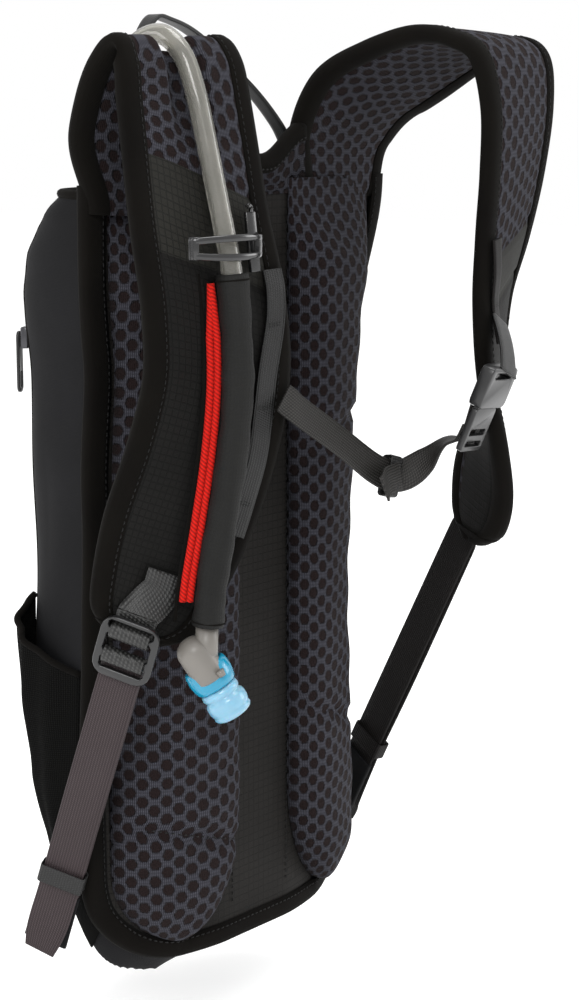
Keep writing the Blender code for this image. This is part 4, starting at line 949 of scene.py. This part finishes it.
def make_strap(hand, strap):
    """The padded strap, its bound edges and the stitching along them."""
    rows, places = [], spread(ROOT[hand], float(strap.last), 196)
    edges = {-1: [], 1: []}
    for place in places:
        centre, side, normal, width = strap.frame(place)
        half = width / 2 - 0.0012
        end = max(place - (strap.last - 0.9), 0.0) / 0.9
        half *= math.sqrt(max(1 - 0.55 * end * end, 0.02))
        upper, lower = [], []
        for s in spread(-1.0, 1.0, STRAP_POINTS):
            near = min(place + table(LEAN[hand], place) * s, float(strap.last))
            at, out, face, wide = strap.frame(near)
            reach = (wide / 2 - 0.0012 - pinch(hand, near, s)) * s * half / (width / 2 - 0.0012)
            high, low = strap_height(strap, near, reach, abs(reach / s) if s else half)
            for seam in (SEAM[hand], LOWER_SEAM[hand]):
                high -= 0.0011 * math.exp(-((place - seam) / 0.06) ** 2)
            upper.append(at + out * reach + face * high)
            lower.append(at + out * reach + face * low)
        rows.append(upper + lower[::-1])
        for hand_sign in (-1, 1):
            held = half - pinch(hand, place, hand_sign)
            edges[hand_sign].append((centre, side * hand_sign, normal, held))

    def pick(a, i):
        """Mesh, then ripstop below the seams; the left strap's turned foot is darker."""
        on_back = i >= STRAP_POINTS - 1
        if hand == "left" and places[a] > 11.2:
            return 0 if STRAP_POINTS - 1 < i < STRAP_POINTS + 10 and places[a] < 14.0 else 2
        if on_back or places[a] < SEAM[hand]:
            return 0
        return 1 if places[a] < LOWER_SEAM[hand] else 2

    body = skin_mesh(f"{hand}_strap_pad", rows, ["mesh", "ripstop", "dark_rip"], pick=pick)
    own(body, f"{hand}_strap", [f"{hand}_shoulder_strap"])
    for hand_sign, stations in edges.items():
        binding_rows, inner, normals = [], [], []
        for place, (centre, out, normal, half) in zip(places, stations):
            section = []
            wide = min(0.0092, half * 0.9)
            fold = ((wide, 0.00035), (wide - 0.0005, 0.0009), (wide * 0.6, 0.0011),
                    (wide * 0.25, 0.0011))
            for back_in, lift in fold:
                high, _ = strap_height(strap, place, half - back_in, half)
                section.append((half - back_in, high + lift))
            section += [(half + 0.0006, 0.0026), (half + 0.0012, 0.0), (half + 0.0006, -0.0026)]
            for back_in, lift in fold[::-1]:
                _, low = strap_height(strap, place, half - back_in, half)
                section.append((half - back_in, low - lift))
            section += [(half - wide, -0.001), (half - wide, 0.001)]
            binding_rows.append([centre + out * a + normal * b for a, b in section])
            high, _ = strap_height(strap, place, half - wide + 0.0018, half)
            inner.append(centre + out * (half - wide + 0.0018) + normal * (high + 0.001))
            normals.append(normal.copy())
        tag = "inner" if hand_sign > 0 else "outer"
        bound = skin_mesh(f"{hand}_strap_{tag}_binding", binding_rows, "binding")
        own(bound, f"{hand}_strap")
        sewn = stitches(f"{hand}_strap_{tag}_stitches", inner, normals, pitch=0.0032)
        own(sewn, f"{hand}_strap")
    cover_end(hand, strap)


def cover_end(hand, strap):
    """The bound, rounded foot of the strap."""
    rows = []
    for t in spread(0.0, 1.0, 12):
        centre, side, normal, width = strap.frame(strap.last - 0.55 + 0.55 * t)
        half = (width / 2) * math.sqrt(max(1 - 0.62 * t * t, 0.02)) * 0.985
        up = 0.0056 * (1 - 0.45 * t ** 3)
        ring = []
        for a in spread(0.0, 2 * math.pi, 29)[:-1]:
            c, s = math.cos(a), math.sin(a)
            ring.append(centre + side * (half * signed_power(c, 0.6))
                        + normal * (up * signed_power(s, 0.7)))
        rows.append(ring)
    own(skin_mesh(f"{hand}_strap_foot", rows, "binding"), f"{hand}_strap")


def make_strap_details():
    """The daisy chain webbing, with the bar tacks that hold it down."""
    for hand, strap, marks, node, skin in (
        ("right", RIGHT_STRAP, ((8.75, 0.03), (9.0, 0.0295), (9.4, 0.028), (9.9, 0.0225), (10.3, 0.023),
                                (10.85, 0.0245), (11.4, 0.0255), (11.8, 0.0255)),
         "right_daisy_chain", "web"),
        # The far strap's daisy chain wears the darker copy with painted shade.
        ("left", LEFT_STRAP, ((9.0, -0.027), (9.5, -0.026), (10.0, -0.024), (10.5, -0.02)),
         "left_daisy_chain", "far_web"),
    ):
        stations = []
        for k, (place, across) in enumerate(marks):
            lift = 0.0014 if k % 2 == 0 else 0.0024
            stations.append((strap.on_face(place, across, lift), strap.frame(place)[1]))
        obj = band(node + "_tape", stations, 0.0105, 0.0013, skin, 90)
        own(obj, f"{hand}_strap", [node])
        for place, across in marks[1:-1:2] + marks[2:-1:2]:
            centre = strap.on_face(place, across, 0.0027)
            _, side, normal, _ = strap.frame(place)
            for row in (-0.0006, 0.0006):
                along = normal.cross(side)
                line = [centre + side * a + along * row for a in spread(-0.0042, 0.0042, 12)]
                name = f"{node}_tack_{place:.2f}_{row:.4f}"
                sewn = stitches(name, line, [normal] * 12, 0.0014, 0.8, 0.00018)
                own(sewn, f"{hand}_strap")


# --- hose, sleeve, valve ------------------------------------------------------------------------

HOSE_RADIUS, HOSE_BORE = 0.00475, 0.0031
PORT_Y, PORT_Z = 0.0268, -0.145
HOSE_INNER = ((-0.08, PORT_Y, PORT_Z + 0.0113), (-0.0795, 0.0274, -0.1), (-0.079, 0.0272, -0.04),
              (-0.08, 0.0268, 0.03), (-0.081, 0.0252, 0.09), (-0.0806, 0.0225, 0.13),
              (-0.0805, 0.0205, 0.162))
HOSE_OUTER = ((-0.0805, 0.0205, 0.164), (-0.0795, 0.02, 0.184), (-0.078, 0.013, 0.206),
              (-0.0768, 0.001, 0.2186), (-0.076, -0.0132, 0.222), (-0.0756, -0.025, 0.2132),
              (-0.0752, -0.032, 0.198), (-0.075, -0.0372, 0.18), (-0.075, -0.043, 0.158),
              (-0.075, -0.049, 0.135), (-0.075, -0.053, 0.118), (-0.0745, -0.0555, 0.09),
              (-0.0745, -0.0555, 0.065), (-0.076, -0.053, 0.035), (-0.079, -0.0495, 0.005),
              (-0.082, -0.046, -0.022), (-0.0837, -0.0448, -0.0415), (-0.084, -0.0446, -0.0455))
SLEEVE_ROUTE = HOSE_OUTER[10:17]
CORD_SIDE = Vector((-0.643, 0.766, 0.0))
VALVE_TOP = Vector((-0.09, -0.0372, -0.0475))
VALVE_AIM = Vector((0.328, -0.407, -0.852)).normalized()


def make_hose():
    """The hose inside the bag and outside it, and its cloth sleeve with a hem at each end."""
    inner = pipe("hose_inside_bag", route_of(HOSE_INNER, 90), HOSE_RADIUS, "hose", 24)
    own(inner, "pack", ["hose_inner"])
    outer_line = route_of(HOSE_OUTER, 260)
    outside = pipe_rows(outer_line, HOSE_RADIUS, 28)
    bore = pipe_rows(outer_line, HOSE_BORE, 28)
    wall = skin_mesh("drink_hose", outside + bore[::-1], "hose", closed=True)
    own(wall, "right_strap", ["hose_outer"])
    line = route_of(SLEEVE_ROUTE, 120)
    sizes = [0.0071 + 0.00025 * math.sin(k * 0.23) + 0.00018 * math.sin(k * 0.61)
             for k in range(120)]
    outside = pipe_rows(line, sizes, 36)
    for k, row in enumerate(outside):
        for i, p in enumerate(row):
            ripple = 0.00022 * math.sin(i * 2 * math.pi / 36 * 3 + k * 0.11)
            row[i] = p + (p - line[k]).normalized() * ripple
    inside = pipe_rows(line, 0.0057, 36)
    sleeve = skin_mesh("sleeve_cloth_tube", outside + inside[::-1], "sleeve", closed=True)
    own(sleeve, "right_strap", ["hose_sleeve"])
    for k in (2, 117):
        ring = pipe_rows(line, 0.0073, 48)[k]
        hem = pipe(f"sleeve_hem_{k}", ring + ring[:1], 0.00045, "binding", 8)
        own(hem, "right_strap")


def make_red_cords():
    """Two cords side by side, drawn together at their top, and the pocket's piping beside them."""
    first = 0.15
    for name, aside in (("red_cord_inner", 0.009), ("red_cord_outer", 0.0123)):
        points = []
        for place in spread(first, 5.4, 60):
            lean = aside
            if place <= 1.0:
                lean = 0.0098 + (aside - 0.0098) * (place - first) / (1.0 - first)
            points.append(smooth_at(SLEEVE_ROUTE, place) + CORD_SIDE * lean)
        cord = pipe(name + "_braid", points, 0.0017, "red", 16)
        own(cord, "right_strap", [name])
    line = [smooth_at(SLEEVE_ROUTE, place) + CORD_SIDE * 0.015 for place in spread(0.0, 5.9, 70)]
    own(pipe("cord_pocket_piping", line, 0.0009, "binding", 8), "right_strap")


def make_valve():
    """The grey elbow with its stub and lug, the blue twist ring and the mouthpiece."""
    end = Vector(HOSE_OUTER[-1])
    profile = [(0.0072 * (1 - math.cos(a)), 0.0083 * math.sin(a))
               for a in spread(0.06, math.pi / 2, 14)]
    profile += [(0.015, 0.0082), (0.0215, 0.008), (0.0224, 0.0074), (0.0225, 0.005)]
    body = lathe("valve_capsule", VALVE_TOP, VALVE_AIM, profile, "valve_grey")
    own(body, "valve_body", ["valve_elbow"])
    line = [end + Vector(p) for p in
            ((0.0002, 0, 0.0045), (-0.0003, 0.0, -0.006), (-0.0006, 0.0006, -0.014))]
    stub = pipe("valve_stub", line, [0.0052, 0.0053, 0.0057], "valve_grey", 24)
    own(stub, "valve_body")
    lug = VALVE_TOP + VALVE_AIM * 0.019 + Vector((-0.0014, -0.0082, 0.003))
    tab = pipe("valve_lug", [lug, lug + VALVE_AIM * 0.003], [0.0022, 0.0016], "valve_grey", 12)
    own(tab, "valve_body")
    ring_from = VALVE_TOP + VALVE_AIM * 0.0188 + Vector((0.0027, 0.0023, -0.0006))
    ring = lathe("valve_collar", ring_from, VALVE_AIM,
                 ((-0.003, 0.006), (-0.0042, 0.0092), (-0.0038, 0.0101), (-0.002, 0.0107),
                  (0.0018, 0.0109),
                  (0.005, 0.0104), (0.0072, 0.0098), (0.008, 0.009), (0.008, 0.004)), "valve_blue")
    own(ring, "valve_tip", ["valve_ring"])
    mouth_from = ring_from + VALVE_AIM * 0.0082
    profile = ((0.0, 0.003), (0.0, 0.0078), (0.0008, 0.009), (0.0026, 0.0093), (0.0036, 0.009),
               (0.0042, 0.0084),
               (0.0048, 0.0086), (0.0056, 0.0094), (0.007, 0.0099), (0.0096, 0.0099), (0.0112, 0.0095),
               (0.0118, 0.009), (0.0124, 0.0093), (0.0134, 0.0094), (0.0146, 0.0086), (0.0154, 0.007),
               (0.0158, 0.0048), (0.0158, 0.0028), (0.0152, 0.0012))
    mouth = lathe("bite_mouthpiece", mouth_from, VALVE_AIM, profile, "silicone")
    own(mouth, "valve_tip", ["mouthpiece"])


# --- locks and lower webbing --------------------------------------------------------------------

UPPER_BAR, LOWER_BAR = 0.008, -0.004
WEBBING_THICK = 0.0013


def frame_of(origin, across, along):
    """A frame at the origin, with Y along the webbing and X across it."""
    y = Vector(along).normalized()
    x = Vector(across)
    x = (x - y * x.dot(y)).normalized()
    return Matrix.Translation(Vector(origin)) @ Matrix((x, y, x.cross(y))).transposed().to_4x4()


RIGHT_LOCK = frame_of((-0.112, -0.0205, -0.0517), (0.469, -0.826, -0.314), (0.0, -0.355, 0.935))
LEFT_LOCK = frame_of((0.1085, -0.0594, -0.0157), (0.2, 0.88, 0.43), (0.0, -0.4475, 0.894))


def section_at(place_frame, marks, side):
    """Stations from (along, out) marks in a frame."""
    return [(place_frame @ Vector((0.0, v, w)), side) for v, w in marks]


def elastic_loop(name, place_frame, outer, inner, middle, half, lip, narrow, skin):
    """A short elastic tube: its outside from end to end, then its inside back again."""
    rows = []
    for loop, ends in ((outer, (-1.0, -lip, lip, 1.0)), (inner, (lip, -lip))):
        for e in ends:
            shrink = narrow if abs(e) == 1.0 else 1.0
            rows.append([place_frame @ Vector((u * shrink, middle + e * half, w)) for u, w in loop])
    return skin_mesh(name, rows, skin, closed=True)


def make_lower(hand, place_frame, strap, keeper, tail):
    """The webbing from its anchor through the lock to its tail, its keeper, and the lock's tab."""
    side = place_frame.to_3x3() @ Vector((1.0, 0.0, 0.0))
    bend = [(LOWER_BAR + 0.0027 * math.sin(a), -0.0027 * math.cos(a))
            for a in spread(0.15, math.pi - 0.1, 6)]
    load_end = keeper - 0.036
    load = [(load_end, -0.0044), (load_end * 0.5, -0.0044), (-0.02, -0.0044), (-0.01, -0.0038)]
    runs = [(-0.0066, 0.0024), (-0.008, 0.0005), (-0.0096, -0.0017), (-0.0117, -0.0028),
            (-0.016, -0.0029), (-0.023, -0.002), (tail * 0.5, -0.0008), (keeper + 0.002, -0.0014),
            (keeper - 0.011, -0.0012)]
    tip = [(tail + 0.014, 0.0004), (tail + 0.006, 0.0026), (tail - 0.002, 0.0044)]
    stations = [(*s, 0.02) for s in section_at(place_frame, load + bend + runs, side)]
    tips = section_at(place_frame, tip, side)
    stations += [(*tips[0], 0.02), (*tips[1], 0.0186), (*tips[2], 0.015)]
    # The far side's webbing, keeper and lock tab wear the darker copy with painted shade.
    near = hand == "right"
    skin = "grey_web" if near else "far_web"
    rows = band_rows(stations, 0.02, WEBBING_THICK, 200)
    across, along = side.normalized(), place_frame.to_3x3() @ Vector((0.0, 1.0, 0.0))
    for k in range(170, 200):  # the tail's cut end slants
        share = ((k - 170) / 29) ** 2
        middle = sum(rows[k], Vector()) / len(rows[k])
        rows[k] = [p + along * ((p - middle).dot(across) * -0.12 * share) for p in rows[k]]
    at = (len(stations) - 1) / 199
    obj = skin_mesh(f"{hand}_lower_tape", rows, [skin, "coarse_web" if near else skin],
                    pick=lambda a, i: 1 if 3.0 < a * at < 11.5 else 0)
    own(obj, f"{hand}_webbing", [f"{hand}_lower_webbing"])
    outer = rounded(-0.0114, 0.0114, -0.0062, 0.0016, 0.0016)
    inner = rounded(-0.0105, 0.0105, -0.0053, 0.0007, 0.001)
    loop = elastic_loop(f"{hand}_keeper_elastic", place_frame, outer, inner, keeper, 0.0047, 0.9, 0.985,
                        "web" if near else "far_web")
    own(loop, f"{hand}_keeper", [f"{hand}_webbing_keeper"])
    top, foot = keeper - 0.01, keeper - 0.04
    rows = []
    for t in spread(0.0, 1.0, 14):
        v = foot + (top - foot) * t
        puff = 0.0006 * math.sin(math.pi * t)
        outline = rounded(-0.0106, 0.0106, -0.0056, -0.003, 0.001)
        rows.append([place_frame @ Vector((u * (1.02 - 0.02 * t), v, w * (1 + puff * 40) - 0.0004))
                     for u, w in outline])
    anchor = skin_mesh(f"{hand}_anchor_sleeve", rows, "shell")
    own(anchor, f"{hand}_anchor", [f"{hand}_webbing_anchor"])
    bend = [(UPPER_BAR - 0.0033 * math.sin(a), 0.0029 * math.cos(a))
            for a in spread(0.0, math.pi, 7)]
    front = [(0.0175, -0.0032), (0.0144, -0.0032), (0.0123, -0.0029), (0.0113, -0.001),
             (0.0105, 0.0017)]
    back = [(0.011, -0.0041), (0.0145, -0.0046), (0.017, -0.0047)]
    marks = section_at(place_frame, front + bend + back, side)
    for place in (13.0, 12.6):
        marks.append((strap.on_face(place, 0.0, 0.0038), strap.frame(place)[1]))
    tab = band(f"{hand}_lock_tape", marks, 0.019, WEBBING_THICK,
               "coarse_web" if near else "far_web", 110)
    own(tab, f"{hand}_strap", [f"{hand}_lock_tab"])


# --- sternum strap ------------------------------------------------------------------------------

BUCKLE = frame_of((0.044, -0.1061, 0.0486), (0.98, 0.15, -0.09), (0.14, -0.336, 0.931))
STERNUM_ROUTE = ((-0.044, -0.0565, 0.06), (-0.0364, -0.0605, 0.0528), (-0.0119, -0.064, 0.0367),
                 (0.011, -0.068, 0.0205), (0.0245, -0.072, 0.016), (0.035, -0.0795, 0.0235),
                 (0.0385, -0.0885, 0.0325))


def make_sternum():
    """The sternum webbing, the loop of the female half, and the keeper with the tail under it."""
    side = BUCKLE.to_3x3() @ Vector((1.0, 0.0, 0.0))
    sides = [(0.35, 0.25, 0.9), (0.4, 0.2, 0.85), (0.45, 0.2, 0.85), (0.35, 0.1, 0.9),
             (0.25, 0.05, 0.95), (0.5, 0.45, 0.75), (0.85, 0.45, 0.2)]
    stations = list(zip([Vector(p) for p in STERNUM_ROUTE], [Vector(s) for s in sides]))
    stations.append((BUCKLE @ Vector((0.0, -0.0165, -0.0045)), side))
    stations.append((BUCKLE @ Vector((0.0, -0.0085, -0.0036)), side))
    main = band("sternum_tape", stations, 0.015, WEBBING_THICK, "sternum_web", 120)
    own(main, "right_strap", ["sternum_webbing"])
    start = LEFT_STRAP.on_face(10.2, -0.024, 0.0034)
    end = BUCKLE @ Vector((0.0, 0.0215, 0.0046))
    first = LEFT_STRAP.frame(10.2)[1]
    slack = Vector((0.0, -0.0015, 0.0))
    loop = [(start.lerp(end, t) + slack * math.sin(math.pi * t), first.lerp(side, t))
            for t in spread(0.0, 1.0, 6)]
    tape_loop = band("female_loop_tape", loop, 0.014, WEBBING_THICK, "web", 40)
    own(tape_loop, "left_strap", ["female_buckle_loop"])
    centre = smooth_at(STERNUM_ROUTE, 3.55)
    along = smooth_at(STERNUM_ROUTE, 3.6) - smooth_at(STERNUM_ROUTE, 3.5)
    across = (0.3, 0.08, 0.93)
    place = frame_of(centre, across, along)
    outer = rounded(-0.01, 0.01, -0.0036, 0.0036, 0.0016)
    inner = rounded(-0.009, 0.009, -0.0026, 0.0026, 0.001)
    elastic = elastic_loop("sternum_elastic", place, outer, inner, 0.0, 0.0034, 0.85, 0.97, "web")
    own(elastic, "sternum_keeper", ["sternum_keeper"])
    tail_from = smooth_at(STERNUM_ROUTE, 3.75)
    tail = [(tail_from + Vector((0.001, -0.003, 0.0006)), across),
            (centre + Vector((-0.001, -0.0036, -0.0004)), across),
            (centre + Vector((-0.0085, -0.005, -0.001)), (0.3, 0.2, 0.9)),
            (centre + Vector((-0.014, -0.0075, -0.0035)), (0.3, 0.3, 0.86))]
    own(band("sternum_tail", tail, 0.014, WEBBING_THICK, "sternum_web", 40), "right_strap")


# --- hose clip, handle, inside and moulded parts ------------------------------------------------

CLIP_HEIGHT = 0.13
HANDLE_Y = 0.0085


def make_clip_arm():
    """The hose clip's sprung arm: two rails round a long slot, joined by a folded finger tab."""
    route = ((-0.0575, -0.0522), (-0.0615, -0.0575), (-0.069, -0.0596), (-0.079, -0.059),
             (-0.088, -0.056), (-0.095, -0.0515), (-0.0975, -0.048))
    points = [Vector((x, y, 0.0)) for x, y in route]
    up = Vector((0.0, 0.0, 1.0))

    def ring(place, z, flare):
        here = smooth_at(points, place)
        along = (smooth_at(points, place + 0.02) - smooth_at(points, place - 0.02)).normalized()
        out = Vector((along.y, -along.x, 0.0))
        out = out if out.y < 0 else -out
        wide, thick = 0.0016 + flare, 0.0012
        centre = here + up * (CLIP_HEIGHT + z)
        turn = [2 * math.pi * k / 12 for k in range(12)]
        return [centre + up * (wide * signed_power(math.sin(a), 0.6))
                + out * (thick * signed_power(math.cos(a), 0.6)) for a in turn]

    def moulded(name, rows, nodes=()):
        own(skin_mesh(name, rows, "clip"), "hose_clip_arm", nodes)

    for name, sign, nodes in (("clip_rail_top", 1, ["hose_clip_arm"]), ("clip_rail_low", -1, ())):
        rail = [ring(place, sign * (0.0028 + 0.0014 * math.sin(math.pi * place / 5.6)), 0.0)
                for place in spread(0.5, 5.2, 50)]
        moulded(name, rail, nodes)
    moulded("clip_finger_tab", [ring(place, 0.0, 0.0036) for place in spread(5.0, 6.0, 12)])
    root = [ring(place, 0.0, 0.004 - 0.0006 * place) for place in spread(0.0, 1.5, 14)]
    moulded("clip_arm_root", root)
    rim = [smooth_at(points, 5.85) + Vector((-0.0002, -0.0012, CLIP_HEIGHT + z))
           for z in spread(-0.0046, 0.0046, 10)]
    own(pipe("clip_tab_rim", rim, 0.0009, "clip", 10), "hose_clip_arm")
    hook = [Vector((-0.0568, -0.0484, 0.144)), Vector((-0.0566, -0.0482, 0.1462)),
            Vector((-0.059, -0.049, 0.1474)), Vector((-0.061, -0.0497, 0.1468))]
    own(pipe("clip_hook", route_of(hook, 24), 0.001, "clip", 10), "right_strap")


def make_handle():
    """The webbing grab handle, a loop standing over the yoke."""
    points = ((-0.056, 0.162), (-0.064, 0.185), (-0.069, 0.205), (-0.068, 0.219),
              (-0.06, 0.23), (-0.051, 0.23), (-0.03, 0.2227), (0.006, 0.2),
              (0.0267, 0.1828), (0.035, 0.172), (0.0385, 0.165))
    stations = [(Vector((x, HANDLE_Y, z)), (0.0, 1.0, 0.0)) for x, z in points]
    handle = band("handle_tape", stations, 0.008, 0.0016, "web", 120)
    own(handle, "grab_handle", ["grab_handle"])


def make_inside():
    """The divider inside the bag, and the light loop on its front."""
    rows = []
    for z in spread(-0.165, 0.116, 30):
        half = half_width(z) * 0.9
        rows.append([Vector((x, 0.0446 + 0.0004 * math.sin(x * 60 + z * 40), z))
                     for x in spread(-half, half, 30)])
    obj = skin_mesh("divider_cloth", rows, "lining", around=False)
    thicken(obj, 0.001, -1.0)
    own(obj, "pack", ["reservoir_divider"])
    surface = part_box("light_loop")[0].y + 0.0006
    half = ((0.016, 0.0006), (0.013, 0.0006), (0.011, 0.0024), (0.0085, 0.0056))
    marks = half + ((0.0, 0.0058),) + tuple((-up, lift) for up, lift in half[::-1])
    stations = [((0.0, surface + lift, -0.1 + up), (1.0, 0.0, 0.0)) for up, lift in marks]
    own(band("light_loop_tape", stations, 0.025, 0.0012, "web", 70), "pack", ["light_loop"])


PLAIN = {
    "buckle": ("right_ladder_lock", "left_ladder_lock", "sternum_buckle_male", "sternum_buckle_female"),
    "clip": ("hose_clip_base",),
    "metal": ("right_zip_slider", "left_zip_slider"),
    "web": ("right_zip_pull", "left_zip_pull"),
    "film": ("reservoir",),
    "valve_blue": ("reservoir_cap", "port_release_button"),
    "valve_grey": ("reservoir_port", "hose_plug"),
}


def dress_cad():
    """Moulded pieces keep the CAD's shape, with the worn round edges of the real mouldings."""
    bodies = frame["record"]["behaviour"]["bodies"]
    owners = {node: body for body, names in bodies.items() for node in names}
    for skin, names in PLAIN.items():
        for name in names:
            mesh = frame["nodes"][name].data.copy()
            bm = bmesh.new()
            bm.from_mesh(mesh)
            bmesh.ops.remove_doubles(bm, verts=bm.verts, dist=0.000002)
            bmesh.ops.dissolve_limit(bm, angle_limit=0.02, verts=bm.verts, edges=bm.edges)
            sharp = [e for e in bm.edges if len(e.link_faces) == 2 and e.calc_face_angle(0.0) > 0.6]
            bmesh.ops.bevel(bm, geom=sharp, offset=0.0003, segments=2, profile=0.5,
                            affect="EDGES", clamp_overlap=True)
            bm.to_mesh(mesh)
            bm.free()
            mesh.materials.clear()
            mesh.materials.append(SKINS[skin])
            obj = add_object(name + "_moulding", mesh)
            for face in mesh.polygons:
                face.use_smooth = True
            mesh.set_sharp_from_angle(angle=0.7)
            own(obj, owners[name], [name])


make_panel()
make_panel_binding()
make_yoke()
make_pod("right_pod_pad", -1.0, 0.0185, "right_back_pod")
make_pod("left_pod_pad", 1.0, 0.0255, "left_back_pod")
make_shell()
make_pockets()
make_strap("right", RIGHT_STRAP)
make_strap("left", LEFT_STRAP)
make_strap_details()
make_hose()
make_red_cords()
make_valve()
make_lower("right", RIGHT_LOCK, RIGHT_STRAP, -0.128, -0.166)
make_lower("left", LEFT_LOCK, LEFT_STRAP, -0.151, -0.202)
make_sternum()
make_handle()
make_clip_arm()
make_inside()
dress_cad()
